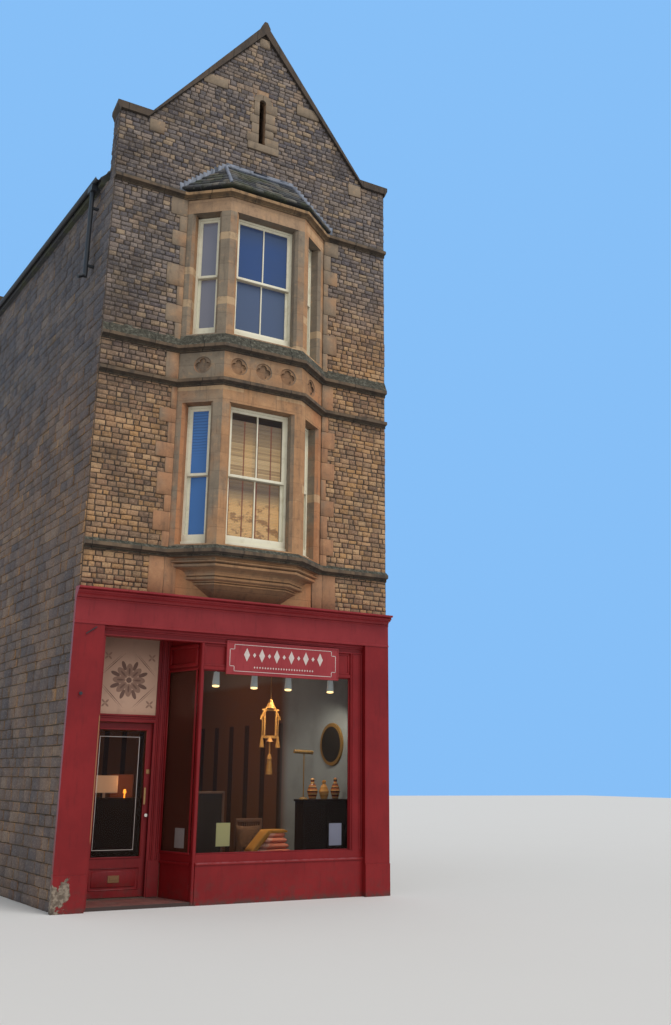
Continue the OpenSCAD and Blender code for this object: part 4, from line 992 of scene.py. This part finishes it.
def notched_line(inset, notch, line):
    """Line blocks that run round the sign and step in at its corners."""
    left, right = sign_low.x + inset, sign_high.x - inset
    low, high = sign_low.z + inset, sign_high.z - inset
    near, far, foot, head = left + notch, right - notch, low + notch, high - notch
    blocks = [(near, far, low, low + line), (near, far, high - line, high),
              (left, left + line, foot, head), (right - line, right, foot, head)]
    for x in (left, far):
        blocks.append((x, x + notch, foot, foot + line))
        blocks.append((x, x + notch, head - line, head))
    for x in (near, far - line):
        blocks.append((x, x + line, low, foot))
        blocks.append((x, x + line, head, high))
    return [(*block, 0.002) for block in blocks]


def flat_shape(shape, sides, place, width, height, turn=0.0, shift=0.0, thick=0.003):
    """A thin plate on a face towards the street: an ellipse of some sides, moved out by shift and turned."""
    made = bmesh.ops.create_cone(shape, segments=sides, radius1=1, radius2=1, depth=thick, cap_ends=True)
    upright = Matrix.Rotation(math.radians(90), 4, "X")
    sized = Matrix.Diagonal((width / 2, 1, height / 2, 1))
    moved = Matrix.Translation((0, 0, shift))
    turned = Matrix.Rotation(math.radians(turn), 4, "Y")
    whole_way = Matrix.Translation(place) @ turned @ moved @ sized @ upright
    bmesh.ops.transform(shape, verts=made["verts"], matrix=whole_way)


lay("sign_line", notched_line(0.05, 0.075, 0.009), sign_face, white_line, block_pattern(0.0004))
lozenges = bmesh.new()
sign_middle = (sign_low + sign_high) / 2
for count in range(-5, 6):
    width, height = (0.10, 0.21) if count % 2 else (0.055, 0.075)
    spot = (sign_middle.x + count * 0.128, sign_low.y - 0.001, sign_middle.z + 0.055)
    flat_shape(lozenges, 4, spot, width, height)
for count in range(-11, 12):
    spot = (sign_middle.x + count * 0.046, sign_low.y - 0.001, sign_middle.z - 0.135)
    flat_shape(lozenges, 4, spot, 0.026, 0.036)
keep("sign_lozenges", lozenges, white_line)


# The panel over the door is painted a dull cream, with painted shade towards its head, under the fascia.
# Its middle holds a plain rosette in two browns in a lozenge of thin lines, with a small sprig in each
# corner.
panel_cream = Finish("cream_panel_paint")
panel_colour = panel_cream.layers(
    0xBC9882, (panel_cream.noise(2, 4), 0xC8A68E),
    (panel_cream.noise(5, 4).rise(0.55, 0.75) * 0.25, 0x846A5A),
    (panel_cream.axes()[2].rise(3.35, 3.85) * 0.6, 0x543C30))
panel_cream.coat(panel_colour, 0.6, panel_cream.noise(50), 0.0008)
dress(panel_cream, "over_door_panel")
brown_line = mottled("brown_line_paint", "cream_paint", 0x604236, 0x745444, gloss=0.6)
pale_brown = mottled("pale_brown_paint", "cream_paint", 0x967460, 0x866656, gloss=0.6)
over_low, over_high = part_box("over_door_panel")
centre = Vector(((over_low.x + over_high.x) / 2 + 0.02, over_low.y - 0.0005, over_low.z + 0.52))
dark_petals, pale_petals = bmesh.new(), bmesh.new()
for count in range(8):
    flat_shape(pale_petals, 20, centre, 0.105, 0.20, 45 * count, 0.155, 0.0016)
    flat_shape(dark_petals, 20, centre, 0.060, 0.15, 45 * count + 22.5, 0.235, 0.0024)
    flat_shape(dark_petals, 12, centre, 0.030, 0.11, 45 * count, 0.135, 0.0032)
flat_shape(dark_petals, 24, centre, 0.085, 0.085, 0, 0, 0.0040)
for turn in (45, 135, 225, 315):
    flat_shape(dark_petals, 4, centre, 0.52, 0.012, turn, 0.345, 0.0020)
    flat_shape(dark_petals, 4, centre, 0.44, 0.007, turn, 0.370, 0.0020)
for side in (-1, 1):
    for rise in (-0.36, 0.36):
        sprig = centre + Vector((side * 0.345, 0, rise))
        for turn in (45, 135, 225, 315):
            flat_shape(pale_petals, 12, sprig, 0.030, 0.07, turn, 0.04, 0.0016)
keep("panel_dark_petals", dark_petals, brown_line)
keep("panel_pale_petals", pale_petals, pale_brown)


# The door is framed softwood with one tall pane and a fielded panel below it. A pale line is painted
# on its glass, and it has a brass lock, an upright pull, a letter plate and a white knob.
brass = Finish("dull_brass", "brass")
z = brass.axes()[2]
brass_colour = brass.layers(0x967042, (brass.noise(30, 4), 0xBE9660), ((z < 0.5) * 0.7, 0x68422A),
                            ((z > 1.13) * (z < 1.29), 0xE8E4D8))
brass.coat(brass_colour, 0.35, metal=0.3)
dress(brass, "door_fittings")
door_low, door_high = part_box("shop_door")
pane_low, pane_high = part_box("door_glass")
lay("door_mouldings", rim(pane_low.x - 0.014, pane_high.x + 0.014, pane_low.z - 0.014, pane_high.z + 0.014,
                          0.022, 0.010), facing_street(door_low.y), red_paint, bead, body="door_leaf")
panel_foot, panel_head = door_low.z + 0.095, pane_low.z - 0.145
field = [(pane_low.x + 0.045, pane_high.x - 0.045, panel_foot + 0.045, panel_head - 0.045, 0.010)]
field += rim(pane_low.x, pane_high.x, panel_foot, panel_head, 0.016, 0.010)
lay("door_panel_field", field, facing_street(door_low.y + 0.012), red_paint, block_pattern(0.008, 2),
    body="door_leaf")
lay("door_glass_line", rim(pane_low.x + 0.026, pane_high.x - 0.102, pane_low.z + 0.10, pane_high.z - 0.106,
                           0.007, 0.0012), facing_street(pane_low.y), white_line, block_pattern(0.0003),
    sink=0.0, body="door_leaf")
handles = bmesh.new()
front = door_low.y
stile_x = (pane_high.x + door_high.x) / 2
pane_middle = (pane_low.x + pane_high.x) / 2
pull_x = pane_high.x + 0.012
stick(handles, (pull_x - 0.015, front - 0.036, 1.366), (pull_x + 0.015, front - 0.022, 1.610), 0.005, 2)
for z in (1.39, 1.585):
    rod(handles, (pull_x, front + 0.001, z), (pull_x, front - 0.026, z), 0.007)
for x, z, width, height in ((stile_x, 1.845, 0.052, 0.062), (pane_middle, 0.318, 0.17, 0.10)):
    plates = ((width / 2, height / 2, 0.005, 0.02), (width / 3, height / 5, 0.009, 0.01))
    for across, tall, proud, sunk in plates:
        stick(handles, (x - across, front - proud, z - tall), (x + across, front + sunk, z + tall))
keep("door_pull_and_plates", handles, brass, body="door_leaf")

fittings = bmesh.new()
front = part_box("pilasters")[0].y
rod(fittings, (-2.484, front - 0.006, 3.748), (-2.334, front - 0.006, 3.857), 0.008)
rod(fittings, (-2.492, front + 0.002, 2.90), (-2.492, front - 0.016, 2.90), 0.024)
keep("pilaster_fittings", fittings, iron)


# Four white spot lamps hang from a track inside the shop window. They are lit, and light the display.
# Soft warm lights stand for the lamps deeper in the room and by the door.
def shine(name, place, energy, colour, kind="POINT", size=0.3):
    light = bpy.data.objects.new(name, bpy.data.lights.new(name, kind))
    light.data.energy = energy
    light.data.color = colour
    light.data.shadow_soft_size = size
    light.location = place
    scene.collection.objects.link(light)
    return light


# The white enamel of the lamp bodies is made to glow a little: painted light on them.
lamp_white = mottled("white_lamp_enamel", "cream_paint", 0xECF0EC, 0xD8DCD6, 12, gloss=0.4,
                     lit=0x96A0A2, light=0.35)
lamp_glass = mottled("warm_lamp_light", "cream_paint", 0xFFE2A0, 0xFFD282, 8,
                     lit=0xFFD68C, light=3.0)
lamps, lamp_glow = bmesh.new(), bmesh.new()
lamp_places = (-0.335, 0.31, 0.905, 1.67)
lamp_y = 0.27
lamp_top, lamp_foot, track_foot = 3.35, 3.13, 3.88
ceiling_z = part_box("first_floor")[0].z
stick(lamps, (lamp_places[0] - 0.2, lamp_y - 0.015, 3.87), (lamp_places[-1] + 0.2, lamp_y + 0.015, 3.90))
for x in (lamp_places[0], lamp_places[-1]):
    rod(lamps, (x, lamp_y, track_foot), (x, lamp_y, ceiling_z + 0.01), 0.008)
for x in lamp_places:
    rod(lamps, (x, lamp_y, lamp_top - 0.01), (x, lamp_y, track_foot), 0.009)
    rod(lamps, (x + 0.012, lamp_y, lamp_top), (x - 0.006, lamp_y - 0.03, lamp_foot + 0.01), 0.044, 32, 0.060)
    rod(lamp_glow, (x - 0.006, lamp_y - 0.03, lamp_foot + 0.014),
        (x - 0.007, lamp_y - 0.032, lamp_foot + 0.002), 0.054, 32)
    spot = shine("spot_light", (x, lamp_y + 0.02, lamp_foot - 0.02), 34, (1.0, 0.82, 0.60), "SPOT", 0.05)
    spot.data.spot_size = math.radians(120)
    spot.data.spot_blend = 0.7
    spot.rotation_euler = (math.radians(35), 0, 0)
keep("spot_lamps", lamps, lamp_white)
keep("lamp_light", lamp_glow, lamp_glass)
shine("room_light", (-0.2, 3.6, 3.6), 32, (1.0, 0.68, 0.48))
shine("door_light", (-1.7, 1.7, 2.9), 16, (1.0, 0.66, 0.36))
shine("lobby_light", (-1.55, 0.30, 3.0), 2.5, (1.0, 0.96, 0.92), size=0.4)


# The display inside the window: a dark cabinet with three jars and a reading lamp, an oval mirror over
# it, a gilt hanging, a bench with cushions, a cane chair, a bare blackboard, blank papers on the glass
# and a counter with a paper shade by the door.
def grained(name, slot, first, second, scale=6, stretch=(4, 4, 0.5), gloss=0.5, **plain):
    return mottled(name, slot, first, second, scale, stretch, gloss, **plain)


floor_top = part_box("ground_floor")[1].z
floor_sunk = floor_top - 0.002
cabinet = bmesh.new()
cabinet_left, cabinet_right, cabinet_front, cabinet_back, cabinet_top = 1.31, 2.125, 0.45, 0.76, 1.44
stick(cabinet, (cabinet_left, cabinet_front, floor_sunk), (cabinet_right, cabinet_back, cabinet_top - 0.035))
stick(cabinet, (cabinet_left - 0.03, cabinet_front - 0.03, cabinet_top - 0.036),
      (cabinet_right + 0.015, cabinet_back, cabinet_top), 0.010, 2)
for left in (cabinet_left + 0.03, cabinet_left + 0.415):
    for inset, proud in ((0.0, 0.012), (0.06, 0.020)):
        stick(cabinet, (left + inset, cabinet_front - proud, floor_top + 0.12 + inset),
              (left + 0.365 - inset, cabinet_front + 0.01, cabinet_top - 0.09 - inset), 0.005, 2)
stick(cabinet, (-2.45, 2.45, floor_sunk), (-0.75, 3.0, 1.42), 0.01)
keep("cabinet_and_counter", cabinet,
     grained("dark_stained_wood", "floor_boards", 0x1E120E, 0x301E17, mirror=0.08))

jars = bmesh.new()
jar_rings = ((0.0, 0.6), (0.10, 0.7), (0.38, 1.0), (0.66, 0.62), (0.80, 0.30), (0.92, 0.42), (1.0, 0.20))
for x, girth, height in ((1.55, 0.090, 0.33), (1.76, 0.085, 0.30), (1.97, 0.080, 0.34)):
    for (low, near), (high, far) in zip(jar_rings, jar_rings[1:]):
        rod(jars, (x, 0.61, cabinet_top - 0.001 + low * height), (x, 0.61, cabinet_top + high * height),
            girth * near, 24, girth * far)
glaze = Finish("jar_glaze", "ashlar")
x, y, z = glaze.axes()
jar_bands = glaze.kinds((z * 17.0) % 1.0, 0xBC6C3E, 0x5C3428, 0xD6A460)
glaze.coat(glaze.layers(jar_bands, ((x > 1.66) * (x < 1.86) * 0.6, 0xE6B060)), 0.25)
keep("cabinet_jars", jars, glaze)

reading_lamp = bmesh.new()
lamp_stem = Vector((1.39, 0.62, cabinet_top - 0.001))
rod(reading_lamp, lamp_stem, lamp_stem + Vector((0, 0, 0.03)), 0.075, 32, 0.05)
rod(reading_lamp, lamp_stem, lamp_stem + Vector((0, 0, 0.74)), 0.010)
rod(reading_lamp, lamp_stem + Vector((-0.18, 0, 0.75)), lamp_stem + Vector((0.16, 0, 0.735)), 0.030)
mirror_place = Vector((2.247 + skew * 1.0, 1.0, 2.33))
wall_way = Vector((skew, 1, 0)).normalized()
mirror_glass = bmesh.new()
mirror_stand = Matrix((wall_way * 0.34, level * 0.37, level.cross(wall_way))).transposed().to_4x4()
for shape, share, thick in ((reading_lamp, 1.0, 0.05), (mirror_glass, 0.84, 0.06)):
    made = bmesh.ops.create_cone(shape, segments=48, radius1=share, radius2=share * 0.95, depth=thick,
                                 cap_ends=True)["verts"]
    bmesh.ops.transform(shape, verts=made, matrix=Matrix.Translation(mirror_place) @ mirror_stand)
keep("reading_lamp_and_mirror_frame", reading_lamp,
     grained("old_gold", "brass", 0x6E5428, 0xB08C48, 20))
keep("oval_mirror", mirror_glass, grained("old_mirror_glass", "glass", 0x2C2824, 0x3E3A34, 3, gloss=0.2))

hanging = bmesh.new()
hook = Vector((0.76, 0.60, 0))


def hung(x, high, low, radius, tip):
    rod(hanging, hook + Vector((x, 0, high)), hook + Vector((x, 0, low)), radius, 12, tip)


def hung_stick(left, right, low, high):
    stick(hanging, (hook.x + left, hook.y - 0.013, low), (hook.x + right, hook.y + 0.013, high), 0.003)


hung(0, ceiling_z + 0.01, 2.96, 0.004, 0.004)
hung(0, 3.00, 2.86, 0.025, 0.075)
for side in (-1, 1):
    for step in range(5):
        near = hook + Vector((side * (0.03 + 0.028 * step), 0, 2.93 - 0.048 * step))
        rod(hanging, near, near + Vector((side * 0.03, 0, -0.06)), 0.026, 12, 0.014)
    hung_stick(side * 0.10 - 0.013, side * 0.10 + 0.013, 2.40, 2.85)
    hung(side * 0.14, 2.76, 2.40, 0.008, 0.008)
    hung(side * 0.14, 2.41, 2.24, 0.014, 0.040)
for low, high in ((2.385, 2.425), (2.82, 2.85)):
    hung_stick(-0.15, 0.15, low, high)
for high, low, near, far in ((2.40, 2.33, 0.02, 0.055), (2.34, 2.12, 0.012, 0.012), (2.14, 2.06, 0.02, 0.045),
                             (2.07, 1.82, 0.030, 0.055)):
    hung(0, high, low, near, far)
keep("gilt_hanging", hanging,
     grained("gilt_paint", "brass", 0x803E1A, 0xFFC468, 34, (1, 1, 1), 0.35, metal=0.3))

seats = bmesh.new()
bench_left, bench_right, bench_top = -0.30, 1.12, 0.62
board_left, board_right, board_top = -0.56, 0.0, 1.56
stick(seats, (bench_left, 0.30, bench_top - 0.04), (bench_right, 0.80, bench_top))
for x in (bench_left + 0.04, bench_right - 0.04):
    for y in (0.34, 0.76):
        stick(seats, (x - 0.025, y - 0.025, floor_sunk), (x + 0.025, y + 0.025, bench_top - 0.03))
for x in (0.36, 0.78):
    stick(seats, (x - 0.02, 0.90, floor_sunk), (x + 0.02, 0.94, 1.12))
for low, high in ((0.55, 0.62), (1.08, 1.14)):
    stick(seats, (0.34, 0.90, low), (0.80, 0.94, high), 0.012, 2)
for turn in range(11):
    x = 0.38 + turn * 0.038
    stick(seats, (x - 0.008, 0.91, 0.60), (x + 0.008, 0.93, 1.10))
for left, right, foot in ((board_left, board_left + 0.035, floor_sunk),
                          (board_right - 0.035, board_right, floor_sunk),
                          (board_left, board_right, board_top - 0.035)):
    stick(seats, (left, 0.55, foot), (right, 0.58, board_top))
keep("bench_chair_and_easel", seats, grained("brown_waxed_wood", "floor_boards", 0x603E2A, 0x845A3E))
blackboard = bmesh.new()
stick(blackboard, (board_left + 0.03, 0.56, 0.45), (board_right - 0.03, 0.575, board_top - 0.03), 0.002)
keep("bare_blackboard", blackboard,
     grained("chalky_black", "iron", 0x2E2623, 0x4C403A, 9, (1, 1, 3), mirror=0.05))


# The cushions on the bench are stuffed cloth: four sewn rolls with striped ends between golden sides,
# and a brown one that stands behind them.
def stuffed(shape, place, half, turn=Matrix.Identity(3), thin=0.3, roll=False):
    """A crowned closed cushion. Its sides pull in between the corners, and its seams are thinner than
    its middle."""
    cells = 12
    points = {}

    def point(spot):
        if spot not in points:
            x, y, z = (2 * step / cells - 1 for step in spot)
            swell = math.sqrt((1 - x ** 4) * (1 - y ** 4))
            bent = (x * (0.92 + 0.08 * y * y), y * (0.92 + 0.08 * x * x), z * (thin + (1 - thin) * swell))
            if roll:
                drawn = 1 - 0.3 * x ** 8
                bent = (x * (1 - 0.05 * (y * y + z * z)), y * math.sqrt(1 - z * z / 2) * drawn,
                        z * math.sqrt(1 - y * y / 2) * drawn)
            sized = Vector(share * reach for share, reach in zip(bent, half))
            points[spot] = shape.verts.new(Vector(place) + turn @ sized)
        return points[spot]

    for axis in range(3):
        for side in (0, cells):
            for across in range(cells):
                for along in range(cells):
                    ring = []
                    for over, on in ((0, 0), (1, 0), (1, 1), (0, 1)):
                        pair = (across + over, along + on)
                        ring.append(point((*pair[:axis], side, *pair[axis:])))
                    shape.faces.new(ring).smooth = True


def keep_cushions(name, shape, cloth, colour, gloss=0.9):
    bmesh.ops.recalc_face_normals(shape, faces=shape.faces[:])
    keep(name, shape, cloth.coat(colour, gloss, cloth.noise(420, 1.0), 0.0006))


rolls = bmesh.new()
for row in range(4):
    roll_left, roll_right = 0.47 + 0.075 * row, 1.08 - 0.012 * row
    stuffed(rolls, ((roll_left + roll_right) / 2, 0.45 + 0.05 * row, bench_top + 0.042 + 0.080 * row),
            ((roll_right - roll_left) / 2, 0.125 - 0.006 * row, 0.045), roll=True)
cloth = Finish("striped_cushion_cloth", "red_paint")
x, y, z = cloth.axes()
from_end = x - (z - bench_top) * 0.94 - 0.46
end_stripes = (from_end.off(0.036) > 0.26) * (from_end < 0.11)
roll_colour = cloth.layers(0xD6745C, (cloth.noise(26, 2.0, (0.3, 1, 1)), 0xEE987A),
                           (end_stripes, 0xE2CEC4))
keep_cushions("rolled_cushions", rolls, cloth, roll_colour)

sides = bmesh.new()
leaning = Matrix.Rotation(math.radians(-48), 3, "Y")
stuffed(sides, (0.556, 0.50, bench_top + 0.19), (0.215, 0.16, 0.05), leaning, 0.55)
stuffed(sides, (0.87, 0.62, bench_top + 0.335), (0.19, 0.13, 0.032), thin=0.5)
cloth = Finish("golden_cushion_cloth", "red_paint")
keep_cushions("golden_cushions", sides, cloth, cloth.layers(0xB07428, (cloth.noise(60), 0xE2A64A)), 0.8)

standing = bmesh.new()
upright = Matrix.Rotation(math.radians(80), 3, "X")
stuffed(standing, (0.515, 0.775, bench_top + 0.21), (0.215, 0.215, 0.085), upright, 0.1)
cloth = Finish("brown_cushion_cloth", "red_paint")
keep_cushions("standing_cushion", standing, cloth,
              cloth.layers(0x462C20, (cloth.noise(70, 2.0).rise(0.46, 0.56), 0x966C4A)))

# The blank papers are made to glow a little: painted light on them.
paper = Finish("blank_paper", "cream_paint")
paper.coat(paper.kinds(paper.tone(), 0xE2DC96, 0xB2B6D6, 0xB0A6AA), 0.8,
           lit=0x5A5A54, light=0.3)
paper_pattern = block_pattern(0.0002)
pane_corners = corners_of("shop_glass")
pane_back = max(corner.y for corner in pane_corners if corner.x > window_right - 0.01)
papers = [(left, left + 0.22, low, low + 0.33, 0.0008 - pane_back, tone)
          for left, low, tone in ((-0.31, 0.79, 0.1), (1.57, 0.76, 0.5))]
lay("window_papers", papers, facing_street(rail_low.y), paper, paper_pattern, sink=pane_back + 0.0005)
side_out = side_face[1].cross(level)
side_depth = min((corner - side_rear).dot(side_out) for corner in pane_corners if corner.x < -0.88)
lay("side_window_paper", [(0.30, 0.52, 0.76, 1.04, side_depth + 0.0008, 0.9)], side_face, paper,
    paper_pattern, sink=0.0005 - side_depth)

shade, bulb, screen = bmesh.new(), bmesh.new(), bmesh.new()
stick(shade, (-1.54, 2.50, 1.50), (-1.16, 2.80, 1.78), 0.01, 2)
stick(shade, (-1.37, 2.63, 1.415), (-1.33, 2.67, 1.52))
keep("paper_shade", shade, grained("lit_paper", "cream_paint", 0xD6B096, 0xECCCB0, 3, gloss=0.8,
                                   lit=0xC49678, light=0.15))
rod(bulb, (-1.04, 2.50, 1.415), (-1.04, 2.50, 1.52), 0.012)
rod(bulb, (-1.04, 2.50, 1.50), (-1.04, 2.50, 1.56), 0.030, 24, 0.018)
keep("counter_bulb", bulb, grained("orange_bulb", "glass", 0xFF9628, 0xFFB046, lit=0xFF9632, light=2.0))
stick(screen, (-1.20, 2.86, 1.415), (-0.80, 2.89, 1.80), 0.005)
keep("counter_screen", screen, grained("orange_paper", "red_paint", 0x703820, 0x8C4C2C, 3, gloss=0.8))
shine("counter_light", (-1.02, 2.42, 1.66), 1.5, (1.0, 0.45, 0.12), size=0.03)
